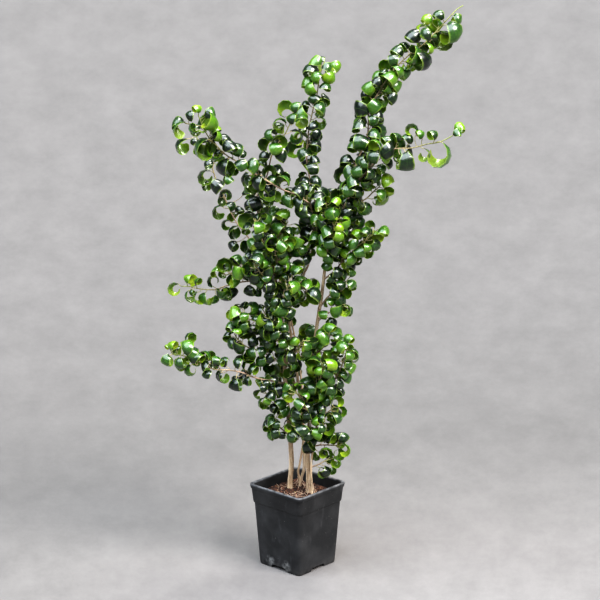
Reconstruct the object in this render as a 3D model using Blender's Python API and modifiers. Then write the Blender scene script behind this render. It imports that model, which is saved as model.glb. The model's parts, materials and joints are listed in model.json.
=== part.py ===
"""A weeping fig with curled leaves, in a square black nursery pot.

Blender 4.5 script, in metres, +Z up. The origin is the centre of the pot's base, +X is the
plant's right and -Y its front. Every piece of the plant is a solid of its own: the pot, the
soil, five woody stems and the leafy sprays that grow from them.

The routes of the stems and twigs were read by eye as (across, up, near) in centimetres. Across
and up are where a point shows on the upright plane through the pot's axis, seen from
VIEWPOINT, and near is how far in front of that plane the point really lies.
"""
import math
import random
from collections import namedtuple

import bmesh
import bpy
from mathutils import Vector
from mathutils.bvhtree import BVHTree

CM = 0.01
GAP = 0.0003
SEED = 41
VIEWPOINT = Vector((0.00345, -2.3335, 0.9546))
UP = Vector((0, 0, 1))

# Pot
POT_HEIGHT = 0.115
POT_RIM_SIDE = 0.095
POT_BASE_SIDE = 0.075
POT_TURN = math.radians(47.8)
POT_WALL = 0.0015
POT_FLOOR = 0.0025
RIM_LIP = 0.006
RIM_LIP_PROUD = 0.001
COLLAR_HEIGHT = 0.020
COLLAR_LEDGE = 0.0013
BASE_ROUND = 0.002
CORNER_SHARE = 0.08
NOTCH_WIDTH = 0.027
NOTCH_HEIGHT = 0.005
NOTCH_DEPTH = 0.008
DRAIN_RADIUS = 0.003
DRAIN_RING = 0.020

# Soil
SOIL_EDGE = 0.0965
SOIL_MOUND = 0.006
SOIL_LUMP = 0.0009
HOLE_SLACK = 0.0004

# Leaves
LEAF_RADIUS = (0.0084, 0.0106)
LEAF_WIDTH_PER_RADIUS = 1.95
LEAF_CURL = (math.radians(255), math.radians(315))
LEAF_START = math.radians(34)
LEAF_TIGHTENING = 0.24
LEAF_KEEL_PER_RADIUS = 0.30
LEAF_ROOT = 0.00035
LEAF_CLEARANCE = 0.0004
LEAF_HANG = 0.001
PETIOLE = (0.002, 0.005)
BLADE_SHARES = (0.0, 0.15, 0.47, 0.80)
BLADE_WIDTHS = (0.13, 0.92, 1.0, 0.70)
LEAFLESS_RISE = 0.004
LAST_RULE_SHARE = 0.92
GOLDEN_ANGLE = math.radians(137.5)
TRIES = 9

# Stems and twigs
STEM_STEP = 0.03
TWIG_STEP = 0.018
TWIG_SIDES = 4
TWIG_BASE = 0.0012
TWIG_TIP = 0.0009
TWIG_ROOM = 0.009
TWIG_SHIFTS = (0, 0.4, -0.4, 0.8, -0.8, 1.2, -1.2, 1.6, -1.6, 2.0, -2.0, 2.6, -2.6)

Stem = namedtuple("Stem", "name route thickness sides")
Spray = namedtuple("Spray", "name stem leaves_at route set_leaves rule_leaves")

# A stem's thickness is given at its foot and at its top, in millimetres.
STEMS = [
    Stem("stem_left", [
        (-0.9, 6.0, -1.4), (-1.0, 10.9, -1.4), (-0.8, 14.2, -1.2), (-0.9, 16.9, -1.0),
        (-1.0, 18.6, -0.8), (-1.35, 22.5, -0.4), (-1.67, 26.8, 0.0), (-1.72, 28.5, 0.0),
        (-1.8, 31.2, 0.2), (-1.9, 33.1, 0.3), (-2.3, 36.5, 0.4), (-2.9, 40.0, 0.4),
        (-3.4, 43.1, 0.4), (-4.0, 45.3, 0.4), (-4.7, 47.0, 0.4)], (7.5, 2.6), 8),
    Stem("stem_right", [
        (1.3, 6.0, 0.3), (1.5, 10.2, 0.4), (1.43, 14.2, 0.4), (1.38, 15.7, 0.4),
        (1.6, 19.5, 0.3), (1.83, 23.1, 0.2), (1.6, 24.6, 0.2), (1.6, 26.0, 0.2),
        (1.8, 27.0, 0.2), (2.1, 29.8, 0.2), (2.4, 32.1, 0.2), (2.8, 35.0, 0.2),
        (3.1, 36.8, 0.2), (3.4, 39.2, 0.3), (3.7, 42.0, 0.5), (4.0, 44.4, 0.7),
        (4.6, 46.6, 0.9), (5.6, 48.6, 1.1)], (6.7, 3.2), 8),
    Stem("stem_middle", [
        (0.3, 6.5, -2.2), (0.35, 11.2, -2.2), (0.9, 13.5, -2.0), (0.9, 15.3, -2.0),
        (0.7, 20.0, -2.2), (0.2, 25.0, -2.4), (-0.5, 30.0, -2.0), (-1.0, 33.5, -1.4),
        (-0.95, 35.6, -1.0), (-0.6, 36.8, -0.8), (0.1, 38.7, -0.6), (0.7, 40.2, -0.5),
        (1.4, 41.6, -0.5), (2.0, 44.0, -0.6), (2.6, 46.2, -0.7)], (4.4, 2.6), 6),
    Stem("stem_thin", [
        (1.9, 6.5, 1.6), (1.95, 10.6, 1.5), (1.85, 13.3, 1.5), (2.0, 15.7, 1.4),
        (2.4, 18.5, 1.5), (3.1, 21.5, 1.7), (3.9, 23.8, 1.9)], (3.2, 2.2), 6),
    Stem("stem_back", [
        (0.2, 8.0, -3.4), (0.25, 11.8, -3.4), (0.1, 13.1, -3.4), (0.35, 14.4, -3.4),
        (0.8, 18.0, -3.9), (0.7, 23.0, -4.5), (0.3, 28.0, -4.6), (-0.6, 33.0, -4.4),
        (-1.8, 38.0, -4.2), (-3.4, 42.5, -3.8)], (3.0, 2.0), 6),
]

# A set leaf is (across, up, ring radius, facing): facing 0 shows the leaf as an open ring and
# 90 shows its glossy back, in degrees. The other leaves of a spray follow the rule.
SPRAYS = [
    Spray("spray_low_right", "stem_right", 16.3,
          [(3.0, 16.8, 1.0), (5.0, 16.75, 1.6), (5.8, 16.6, 1.8)],
          [(6.3, 16.1, 0.87, 20), (4.4, 17.6, 0.7, 60), (3.6, 15.65, 0.6, 70)], 2),
    Spray("spray_low_right_small", "stem_thin", 13.6,
          [(2.9, 14.1, 2.0), (3.6, 14.5, 2.3), (4.4, 14.8, 2.5)],
          [(5.2, 14.4, 0.72, 40), (4.7, 15.6, 0.6, 60)], 2),
    Spray("spray_low_left", "stem_left", 18.0,
          [(-1.9, 18.9, -0.2), (-2.6, 19.6, 0.3), (-3.0, 20.4, 0.6)],
          [(-3.4, 19.9, 0.7, 60), (-2.5, 21.2, 0.7, 40), (-2.0, 18.2, 0.6, 80)], 2),
    Spray("spray_low_left_upper", "stem_left", 21.6,
          [(-2.6, 22.5, 0.4), (-3.5, 23.5, 0.8), (-4.3, 24.2, 1.2)],
          [(-4.7, 25.5, 0.85, 80), (-5.4, 24.0, 0.65, 40), (-4.6, 22.8, 0.75, 30),
           (-3.1, 22.0, 0.7, 60)], 2),
    Spray("arm_left_low", "stem_left", 25.4,
          [(-3.5, 25.8, 1.0), (-5.5, 26.2, 2.2), (-7.4, 26.95, 3.4), (-9.2, 27.3, 4.4),
           (-11.0, 27.4, 5.0), (-12.5, 28.1, 5.4), (-14.0, 28.8, 5.6), (-15.2, 29.3, 5.6),
           (-16.6, 29.5, 5.4)],
          [(-5.9, 27.2, 0.8, 60), (-6.6, 25.8, 0.7, 50), (-8.0, 28.2, 0.8, 70),
           (-8.2, 25.3, 0.9, 80), (-9.9, 26.3, 0.75, 40), (-10.2, 28.2, 0.6, 60),
           (-12.1, 27.7, 0.7, 60), (-11.6, 29.3, 0.65, 30), (-13.2, 28.9, 0.9, 60),
           (-14.1, 27.2, 0.75, 20), (-15.5, 28.3, 0.85, 70), (-14.8, 30.4, 1.1, 85),
           (-16.5, 30.6, 0.7, 50), (-17.5, 28.5, 1.05, 60), (-14.3, 32.0, 0.7, 30)], 2),
    Spray("spray_left_rings", "stem_left", 28.0,
          [(-3.2, 29.0, 1.2), (-5.0, 29.9, 1.8), (-6.5, 30.4, 2.2), (-7.7, 31.3, 2.4),
           (-8.3, 32.2, 2.4)],
          [(-6.6, 29.2, 0.88, 25), (-8.45, 30.8, 0.75, 10), (-8.8, 33.1, 0.8, 50),
           (-3.7, 30.6, 0.75, 60), (-5.0, 31.2, 0.7, 40), (-7.2, 32.2, 0.7, 60)], 2),
    Spray("spray_left_mid", "stem_left", 32.6,
          [(-3.6, 33.6, 1.0), (-5.4, 34.0, 1.6), (-6.9, 34.5, 2.0), (-7.5, 35.2, 2.2)],
          [(-8.2, 35.0, 0.9, 70), (-6.9, 36.1, 0.65, 80), (-7.8, 33.4, 0.75, 50),
           (-5.0, 35.5, 0.85, 60), (-5.9, 32.9, 0.75, 40), (-3.5, 34.9, 0.8, 70)], 2),
    Spray("arm_left_middle", "stem_left", 38.4,
          [(-4.6, 39.2, 1.0), (-6.8, 39.4, 1.2), (-9.4, 38.8, 1.0), (-10.8, 38.3, 0.6),
           (-12.8, 38.4, 0.0), (-14.0, 38.7, -0.4), (-15.2, 38.75, -0.6)],
          [(-12.0, 37.1, 0.85, 50), (-10.9, 37.0, 0.75, 60), (-14.3, 39.7, 0.65, 60),
           (-13.1, 39.3, 0.55, 40), (-13.8, 37.9, 0.45, 50), (-16.1, 38.3, 0.85, 0),
           (-8.6, 38.0, 0.8, 60), (-6.2, 38.2, 0.8, 70), (-7.3, 40.6, 0.8, 50)], 2),
    Spray("spray_left_ring", "stem_left", 40.6,
          [(-5.0, 41.6, 2.0), (-7.0, 41.4, 2.8), (-8.4, 40.7, 3.2), (-9.4, 40.2, 3.4)],
          [(-9.5, 41.5, 1.0, 5), (-10.5, 40.6, 0.85, 60), (-8.0, 42.2, 0.8, 60),
           (-8.3, 39.4, 0.75, 60), (-6.4, 42.7, 0.8, 40)], 2),
    Spray("arm_left_top", "stem_left", 36.6,
          [(-3.7, 40.2, -0.8), (-5.2, 43.4, -1.6), (-6.2, 45.0, -2.2), (-6.9, 46.0, -2.6),
           (-7.8, 47.1, -3.0), (-8.5, 48.4, -3.4), (-9.2, 50.0, -3.8), (-9.6, 51.0, -4.0),
           (-10.1, 52.0, -4.2), (-10.6, 53.2, -4.4), (-10.9, 54.2, -4.5), (-11.4, 56.0, -4.6),
           (-12.4, 57.6, -4.7), (-13.2, 58.9, -4.8), (-13.9, 60.2, -4.8)],
          [(-10.2, 48.7, 0.88, 30), (-9.3, 50.9, 0.78, 10), (-8.4, 51.3, 0.7, 60),
           (-11.8, 53.3, 1.05, 15), (-11.4, 55.0, 0.7, 60), (-14.8, 57.5, 1.05, 40),
           (-13.2, 57.8, 0.6, 60), (-15.0, 59.6, 1.05, 35), (-13.7, 61.4, 0.85, 70),
           (-14.8, 61.2, 0.75, 60), (-8.2, 46.2, 0.9, 40), (-8.3, 44.2, 0.75, 60),
           (-7.6, 48.9, 0.6, 70), (-6.4, 51.0, 0.85, 60)], 2),
    Spray("arm_left_upper", "stem_middle", 45.2,
          [(1.8, 49.3, 1.0), (1.2, 50.1, 1.6), (-0.4, 51.05, 2.2), (-2.0, 51.7, 2.8),
           (-3.4, 52.5, 3.4), (-5.3, 53.6, 4.0), (-7.4, 55.1, 4.6), (-9.2, 56.2, 5.0),
           (-10.4, 57.4, 5.4), (-11.3, 58.3, 5.6), (-12.1, 59.8, 5.8), (-12.7, 61.3, 6.0)],
          [(-9.2, 54.6, 1.2, 60), (-8.3, 54.2, 0.8, 80), (-8.7, 57.1, 0.95, 60),
           (-11.9, 56.9, 1.35, 20), (-10.4, 58.6, 0.6, 60), (-11.2, 61.4, 0.8, 70),
           (-12.9, 62.1, 0.6, 60), (-5.0, 52.6, 1.0, 60), (-1.1, 50.2, 0.85, 70),
           (-2.9, 50.9, 0.85, 60), (0.3, 49.9, 0.85, 70), (-6.3, 52.9, 0.7, 50)], 2),
    Spray("shoot_left_top", "stem_left", 45.6,
          [(-5.1, 48.5, 0.6), (-5.3, 50.3, 1.0), (-4.7, 52.0, 1.4), (-3.9, 53.6, 1.8),
           (-3.4, 55.8, 2.4), (-2.8, 57.3, 2.8), (-1.6, 58.9, 3.2), (-1.0, 60.1, 3.4),
           (-0.4, 61.4, 3.6)],
          [(-2.3, 57.9, 0.9, 15), (-4.2, 56.0, 0.75, 70), (-2.2, 56.0, 0.85, 80),
           (-2.6, 54.0, 0.9, 60), (-1.1, 53.4, 0.9, 60), (-0.7, 60.8, 0.75, 70),
           (0.1, 60.4, 0.6, 60), (-0.3, 62.3, 0.75, 75), (0.7, 61.9, 0.6, 60),
           (-5.4, 54.6, 0.8, 60), (-6.2, 49.6, 0.75, 60), (-3.8, 50.5, 0.9, 60)], 4),
    Spray("shoot_middle_top", "stem_middle", 45.8,
          [(2.6, 48.6, -0.8), (2.1, 51.0, -1.2), (1.4, 54.1, -1.8), (1.15, 56.4, -2.4),
           (1.35, 58.0, -2.8), (1.5, 59.6, -3.2), (2.0, 62.0, -3.8), (2.5, 63.9, -4.2),
           (2.8, 66.0, -4.6), (3.1, 67.2, -4.8), (3.5, 68.3, -5.0)],
          [(2.1, 55.5, 0.75, 80), (0.5, 55.2, 0.7, 60), (2.3, 57.4, 0.85, 50),
           (1.9, 60.0, 0.8, 80), (0.8, 59.6, 0.7, 60), (2.9, 60.4, 0.85, 30),
           (2.8, 62.3, 0.95, 60), (1.1, 62.6, 0.6, 50), (3.5, 64.9, 0.88, 50),
           (1.4, 65.5, 0.85, 80), (2.4, 68.1, 0.85, 75), (3.7, 67.4, 0.75, 60),
           (4.8, 67.5, 0.8, 60), (2.4, 52.4, 0.85, 60), (1.0, 52.6, 0.75, 60)], 4),
    Spray("shoot_right_top", "stem_right", 47.4,
          [(6.6, 50.4, 1.2), (7.2, 52.6, 1.3), (7.6, 55.0, 1.0), (8.4, 57.0, 0.4),
           (9.0, 58.6, 0.0), (9.15, 60.2, -0.4), (9.2, 62.2, -0.8), (9.8, 63.3, -1.0),
           (10.6, 64.6, -1.4), (11.5, 66.0, -1.8), (12.8, 67.7, -2.2), (14.5, 69.3, -2.6),
           (16.0, 70.4, -3.0), (17.3, 71.7, -3.4), (18.5, 73.0, -3.8), (19.6, 74.2, -4.0),
           (20.3, 74.9, -4.2), (21.0, 75.3, -4.3)],
          [(8.3, 62.0, 1.1, 80), (10.2, 61.4, 0.85, 60), (8.7, 63.8, 0.7, 60),
           (10.1, 65.4, 0.75, 60), (10.9, 63.3, 0.8, 20), (12.0, 63.5, 0.8, 70),
           (12.5, 65.2, 0.9, 75), (11.1, 66.7, 0.6, 60), (13.5, 66.7, 0.9, 60),
           (12.8, 69.4, 0.9, 70), (13.9, 68.2, 0.85, 60), (15.8, 68.4, 1.45, 40),
           (14.8, 71.3, 1.05, 75), (16.3, 71.5, 1.0, 70), (16.5, 73.5, 0.8, 70),
           (18.0, 74.0, 0.8, 75), (19.3, 71.7, 1.4, 50), (20.2, 73.6, 0.75, 70),
           (17.4, 73.0, 0.7, 50), (8.0, 59.8, 0.9, 60), (9.8, 58.8, 0.9, 60),
           (7.4, 57.2, 0.9, 60), (6.4, 55.4, 0.9, 60), (8.6, 55.4, 0.8, 70)], 4),
    Spray("arm_right", "stem_right", 47.9,
          [(6.8, 50.8, 2.4), (7.9, 52.7, 2.9), (9.3, 54.4, 3.4), (11.1, 56.6, 4.0),
           (12.7, 57.0, 4.6), (14.75, 57.1, 5.0), (16.7, 57.6, 5.4), (18.4, 57.9, 5.8),
           (20.0, 58.7, 6.0)],
          [(20.9, 59.6, 0.75, 60), (18.2, 56.2, 1.65, 12), (13.85, 55.4, 1.35, 75),
           (11.6, 57.9, 0.8, 70), (14.0, 58.2, 0.75, 60), (14.7, 59.4, 0.8, 10),
           (15.8, 58.8, 0.7, 70), (17.4, 58.7, 0.7, 60), (16.2, 56.6, 0.8, 60),
           (11.6, 55.2, 0.9, 60), (9.9, 53.2, 0.8, 60), (12.7, 58.4, 0.75, 60)], 4),
    Spray("spray_right_stub", "stem_right", 48.3,
          [(7.4, 49.7, 1.9), (8.85, 50.4, 2.2), (9.9, 51.4, 2.2), (10.7, 52.1, 2.2)],
          [(11.5, 52.8, 1.0, 70), (10.8, 51.0, 0.85, 60), (8.5, 49.1, 0.85, 20),
           (9.0, 51.9, 0.8, 60)], 2),
    Spray("spray_right_end", "stem_right", 39.6,
          [(4.9, 40.8, 0.8), (5.6, 41.7, 1.0), (6.6, 42.8, 1.6), (7.5, 43.7, 2.2),
           (8.2, 44.4, 2.8), (9.0, 44.9, 3.2), (10.1, 46.1, 3.6)],
          [(11.2, 46.1, 0.85, 50), (9.3, 43.4, 0.78, 20), (8.1, 43.2, 0.6, 60),
           (7.8, 45.6, 0.85, 70), (8.9, 46.0, 0.7, 60), (6.4, 41.9, 0.8, 60),
           (6.6, 44.1, 0.75, 60), (5.9, 40.4, 0.75, 60), (5.2, 42.6, 0.7, 60)], 2),
    Spray("spray_right_mid", "stem_right", 36.0,
          [(4.0, 37.3, 0.6), (4.9, 38.0, 0.9), (6.0, 38.9, 1.1), (6.6, 39.6, 1.2)],
          [(4.6, 39.0, 0.7, 60), (5.6, 38.8, 0.75, 70), (6.9, 40.6, 0.75, 60),
           (6.9, 38.9, 0.7, 50), (4.3, 36.7, 0.6, 60)], 2),
    Spray("spray_right_low_ring", "stem_right", 34.2,
          [(4.2, 35.2, 0.8), (5.4, 35.9, 1.2), (6.0, 36.4, 1.3)],
          [(6.3, 35.5, 0.78, 10), (4.9, 36.8, 0.65, 60), (4.4, 33.8, 0.8, 60)], 2),
    Spray("shoot_thin", "stem_thin", 22.6,
          [(4.4, 24.8, 2.0), (5.2, 26.4, 2.6), (6.0, 28.2, 3.2), (6.5, 29.8, 3.6),
           (6.7, 30.8, 4.0)],
          [(6.9, 31.5, 0.7, 60), (7.4, 29.6, 0.7, 40), (6.9, 27.4, 0.8, 60),
           (7.9, 27.4, 0.65, 30), (5.0, 27.6, 0.85, 75), (5.3, 30.0, 0.75, 60),
           (3.6, 26.4, 0.8, 60), (5.6, 24.4, 0.7, 60)], 2),
    Spray("spray_thin_side", "stem_thin", 20.0,
          [(3.6, 21.0, 2.2), (4.4, 21.7, 2.6), (5.0, 22.2, 2.8)],
          [(5.3, 22.9, 0.78, 20), (4.9, 20.5, 0.75, 70), (3.5, 22.6, 0.75, 60)], 2),
    Spray("spray_foot_front", "stem_right", 17.4,
          [(1.2, 17.8, 1.6), (0.5, 18.6, 2.8), (0.1, 19.6, 3.6)], [], 6),
    Spray("spray_foot_right", "stem_right", 18.8,
          [(2.2, 19.0, 2.0), (3.0, 19.4, 3.0), (3.7, 20.2, 3.6)], [], 5),
    Spray("spray_front_low", "stem_right", 20.6,
          [(1.6, 21.2, 1.8), (1.0, 22.2, 3.0), (0.4, 23.4, 3.8), (-0.4, 24.4, 4.4)], [], 7),
    Spray("spray_front_low_right", "stem_right", 24.0,
          [(2.2, 24.6, 1.6), (2.8, 25.6, 2.8), (3.3, 27.0, 3.6), (3.5, 28.4, 4.2)], [], 7),
    Spray("spray_front_mid", "stem_left", 27.4,
          [(-1.4, 28.2, 1.4), (-0.6, 29.2, 2.4), (0.2, 30.4, 3.2), (0.8, 31.6, 3.8)], [], 7),
    Spray("spray_front_left", "stem_left", 30.2,
          [(-2.3, 31.0, 1.5), (-3.0, 32.0, 2.8), (-3.4, 33.4, 3.6), (-3.6, 34.6, 4.2)], [], 7),
    Spray("spray_right_side", "stem_right", 29.4,
          [(3.0, 30.0, 0.8), (3.8, 31.0, 1.6), (4.2, 32.4, 2.2)],
          [(4.4, 33.0, 0.75, 60), (4.0, 29.4, 0.8, 60), (3.1, 32.3, 0.7, 60)], 2),
    Spray("spray_front_crown", "stem_left", 34.6,
          [(-2.2, 35.4, 1.6), (-2.0, 36.6, 2.8), (-1.5, 38.0, 3.8), (-1.0, 39.4, 4.4)],
          [(-0.2, 40.8, 0.8, 60)], 2),
    Spray("spray_crown_left_front", "stem_left", 37.6,
          [(-3.0, 38.4, 1.8), (-4.0, 39.6, 3.2), (-5.0, 40.8, 4.2), (-5.8, 42.2, 4.8)], [], 7),
    Spray("spray_crown_front", "stem_left", 39.6,
          [(-2.9, 40.8, 1.8), (-2.7, 42.2, 3.0), (-2.4, 43.6, 4.0), (-1.9, 45.0, 4.6)], [], 7),
    Spray("spray_crown_high", "stem_left", 42.4,
          [(-3.9, 43.6, 1.8), (-4.6, 45.0, 3.0), (-5.2, 46.4, 3.8), (-5.5, 47.8, 4.2)], [], 7),
    Spray("spray_crown_inner", "stem_left", 43.4,
          [(-2.8, 44.8, 0.9), (-2.0, 46.2, 1.2), (-1.2, 47.4, 1.4)],
          [(-0.3, 45.1, 0.85, 30), (-1.9, 48.2, 0.85, 70), (-3.1, 48.4, 0.85, 60),
           (-1.2, 46.0, 0.7, 60)], 2),
    Spray("spray_middle_leaf", "stem_middle", 38.4,
          [(0.6, 38.8, 0.6), (1.0, 38.4, 1.2), (1.4, 37.9, 1.6)],
          [(2.1, 37.6, 1.1, 70), (1.7, 36.1, 0.95, 30)], 2),
    Spray("spray_middle_upper", "stem_middle", 41.8,
          [(0.6, 43.0, 0.4), (0.2, 44.2, 1.0), (-0.1, 45.4, 1.6)], [], 7),
    Spray("spray_right_front", "stem_right", 42.8,
          [(4.0, 44.0, 1.8), (4.3, 45.4, 3.0), (4.8, 46.8, 3.8), (5.4, 48.2, 4.2)],
          [(2.3, 45.2, 0.8, 60), (5.9, 46.1, 0.8, 50)], 2),
    Spray("spray_right_front_high", "stem_right", 45.4,
          [(4.4, 47.0, 2.0), (4.0, 48.4, 2.8), (3.7, 49.8, 3.4)],
          [(2.4, 47.6, 0.8, 60), (3.0, 49.6, 0.8, 60)], 2),
    Spray("spray_right_crown", "stem_right", 46.2,
          [(5.6, 46.9, 0.8), (6.8, 47.3, 0.8), (7.6, 47.6, 0.8)],
          [(7.9, 47.2, 0.8, 15), (6.7, 48.6, 0.8, 60), (6.6, 46.0, 0.75, 60)], 2),
    Spray("spray_back_right", "stem_right", 43.6,
          [(4.6, 45.0, -1.0), (5.6, 46.8, -2.2), (6.4, 48.6, -3.0), (6.8, 50.4, -3.4)], [], 5),
    Spray("spray_back_upper", "stem_middle", 44.4,
          [(2.8, 46.0, -2.0), (3.6, 47.8, -3.0), (4.4, 49.6, -3.6), (4.8, 51.4, -3.8)], [], 5),
    Spray("spray_back_low", "stem_back", 21.0,
          [(1.6, 22.0, -5.4), (2.6, 23.4, -6.0), (3.2, 25.0, -6.2)], [], 5),
    Spray("spray_back_low_left", "stem_back", 25.0,
          [(-0.8, 25.8, -5.4), (-2.0, 26.8, -6.0), (-2.8, 28.2, -6.4)], [], 5),
    Spray("spray_back_mid", "stem_back", 29.0,
          [(1.2, 30.0, -5.4), (2.2, 31.4, -6.2), (2.6, 33.0, -6.6)], [], 5),
    Spray("spray_back_mid_left", "stem_back", 32.0,
          [(-2.2, 33.0, -5.4), (-3.8, 34.4, -6.0), (-4.8, 36.0, -6.2)], [], 5),
    Spray("spray_back_crown", "stem_back", 36.0,
          [(-0.8, 37.6, -5.6), (-0.6, 39.6, -6.8), (-0.9, 41.4, -7.4)], [], 5),
    Spray("spray_back_crown_left", "stem_back", 38.6,
          [(-3.6, 39.8, -5.6), (-5.2, 41.2, -6.4), (-6.2, 43.0, -6.6)], [], 5),
    Spray("shoot_back_top", "stem_back", 40.2,
          [(-2.5, 42.4, -5.2), (-3.0, 44.6, -5.8), (-3.4, 46.8, -5.6), (-3.1, 49.0, -5.0)], [], 6),
]


def placed(across, up, near):
    """The real point that shows at (across, up) on the upright plane and lies near it by near."""
    on_plane = Vector((across * CM, 0, up * CM))
    reach = (-near * CM - VIEWPOINT.y) / -VIEWPOINT.y
    return VIEWPOINT + (on_plane - VIEWPOINT) * reach


def smooth_path(points, step):
    """Points about one step apart on a smooth curve through the given ones."""
    ends = [points[0] * 2 - points[1]] + points + [points[-1] * 2 - points[-2]]
    path = []
    for a, b, c, d in zip(ends, ends[1:], ends[2:], ends[3:]):
        count = max(1, round((c - b).length / step))
        for k in range(count):
            t = k / count
            bend = (2 * a - 5 * b + 4 * c - d) * t * t + (3 * b - a - 3 * c + d) * t ** 3
            path.append((2 * b + (c - a) * t + bend) / 2)
    path.append(points[-1].copy())
    return path


def tapered(count, first, last):
    """Radii that shrink evenly from first to last."""
    return [first + (last - first) * k / (count - 1) for k in range(count)]


def linked(obj, collection):
    """The object, moved into the collection."""
    for other in list(obj.users_collection):
        other.objects.unlink(obj)
    collection.objects.link(obj)
    return obj


def object_from_mesh_data(name, points, faces, collection):
    """A new object with the given corner points and faces."""
    mesh = bpy.data.meshes.new(name)
    mesh.from_pydata([tuple(p) for p in points], [], faces)
    obj = bpy.data.objects.new(name, mesh)
    collection.objects.link(obj)
    return obj


def tube(name, path, radii, sides, collection):
    """A round solid along a path, made as a bevelled curve and turned into a welded mesh."""
    curve = bpy.data.curves.new(name, "CURVE")
    curve.dimensions = "3D"
    curve.bevel_depth = 1.0
    curve.bevel_resolution = sides // 2 - 2
    curve.use_fill_caps = True
    spline = curve.splines.new("POLY")
    spline.points.add(len(path) - 1)
    for point, place, radius in zip(spline.points, path, radii):
        point.co = (*place, 1)
        point.radius = radius
    drawn = bpy.data.objects.new(name + "_route", curve)
    collection.objects.link(drawn)
    evaluated = drawn.evaluated_get(bpy.context.evaluated_depsgraph_get())
    mesh = bpy.data.meshes.new_from_object(evaluated)
    mesh.name = name
    solid = bpy.data.objects.new(name, mesh)
    solid.matrix_world = drawn.matrix_world
    collection.objects.link(solid)
    bpy.data.objects.remove(drawn)
    weld(mesh)
    return solid


def weld(mesh):
    """Joins the loose caps of a tube to its wall."""
    work = bmesh.new()
    work.from_mesh(mesh)
    bmesh.ops.remove_doubles(work, verts=work.verts, dist=0.00002)
    bmesh.ops.recalc_face_normals(work, faces=work.faces)
    work.to_mesh(mesh)
    work.free()


def boolean(target, operation, operand, solver="EXACT"):
    """Adds a Boolean with an object or a collection and applies it."""
    modifier = target.modifiers.new(operation.title(), "BOOLEAN")
    modifier.operation = operation
    modifier.solver = solver
    if isinstance(operand, bpy.types.Collection):
        modifier.operand_type = "COLLECTION"
        modifier.collection = operand
    else:
        modifier.object = operand
    evaluated = target.evaluated_get(bpy.context.evaluated_depsgraph_get())
    mesh = bpy.data.meshes.new_from_object(evaluated)
    target.modifiers.clear()
    target.data = mesh


def as_guide(obj):
    """Marks a cutter, which isn't part of the plant."""
    obj.hide_render = True
    obj.display_type = "WIRE"
    return obj


def material(name, colour, roughness):
    """A plain material with the piece's own colour."""
    made = bpy.data.materials.new(name)
    made.use_nodes = True
    shader = made.node_tree.nodes["Principled BSDF"]
    shader.inputs["Base Color"].default_value = (*colour, 1)
    shader.inputs["Roughness"].default_value = roughness
    return made


def finish_with(obj, colour, roughness, smooth=True):
    """Gives the object its material and its shading."""
    obj.data.materials.clear()
    obj.data.materials.append(material(obj.name, colour, roughness))
    if smooth:
        obj.data.shade_smooth()
        obj.data.set_sharp_from_angle(angle=math.radians(35))


# Pot and soil

def rounded_square(side, corner, height, arc_steps=2):
    """Points of an upright-turned square with round corners, at one height."""
    points = []
    reach = side / 2 - corner
    for quarter in range(4):
        turn = quarter * math.pi / 2
        centre = reach * Vector((math.cos(turn) - math.sin(turn),
                                 math.sin(turn) + math.cos(turn)))
        for k in range(arc_steps + 1):
            angle = turn + k / arc_steps * math.pi / 2
            across = centre + corner * Vector((math.cos(angle), math.sin(angle)))
            points.append(Vector((*across, height)))
    return [turned(p) for p in points]


def turned(point):
    """The point turned with the pot, one corner of which faces the front."""
    cosine, sine = math.cos(POT_TURN), math.sin(POT_TURN)
    return Vector((point.x * cosine - point.y * sine, point.x * sine + point.y * cosine, point.z))


def loft(name, rings, collection):
    """A closed solid through rings of equal length, with flat ends."""
    count = len(rings[0])
    points = [p for ring in rings for p in ring]
    faces = [tuple(reversed(range(count)))]
    for level in range(len(rings) - 1):
        low = level * count
        for k in range(count):
            step = (k + 1) % count
            faces.append((low + k, low + step, low + count + step, low + count + k))
    last = (len(rings) - 1) * count
    faces.append(tuple(range(last, last + count)))
    solid = object_from_mesh_data(name, points, faces, collection)
    work = bmesh.new()
    work.from_mesh(solid.data)
    bmesh.ops.recalc_face_normals(work, faces=work.faces)
    work.to_mesh(solid.data)
    work.free()
    return solid


def pot_side(height):
    """Outer side of the pot's tapered body at a height."""
    return POT_BASE_SIDE + (POT_RIM_SIDE - POT_BASE_SIDE) * height / POT_HEIGHT


def pot_section(side, height):
    """The pot's rounded outline with the given side."""
    return rounded_square(side, CORNER_SHARE * side, height)


def pot_profile():
    """Sides and heights up the pot's outer face."""
    ledge = POT_HEIGHT - RIM_LIP - COLLAR_HEIGHT
    lip = POT_HEIGHT - RIM_LIP
    collar_out = 2 * RIM_LIP_PROUD
    ledge_out = collar_out + 2 * COLLAR_LEDGE
    return [
        (pot_side(0) - 2 * BASE_ROUND, 0.0),
        (pot_side(0) - 0.6 * BASE_ROUND, 0.3 * BASE_ROUND),
        (pot_side(BASE_ROUND), BASE_ROUND),
        (pot_side(ledge) - ledge_out, ledge),
        (pot_side(ledge) - collar_out, ledge + 0.0004),
        (pot_side(lip) - collar_out, lip),
        (pot_side(lip), lip + 0.0004),
        (pot_side(POT_HEIGHT), POT_HEIGHT - 0.0008),
        (pot_side(POT_HEIGHT) - 0.0012, POT_HEIGHT),
    ]


def inner_side(height):
    """Inner side of the pot at a height."""
    return pot_side(height) - 2 * (RIM_LIP_PROUD + COLLAR_LEDGE + POT_WALL)


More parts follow.
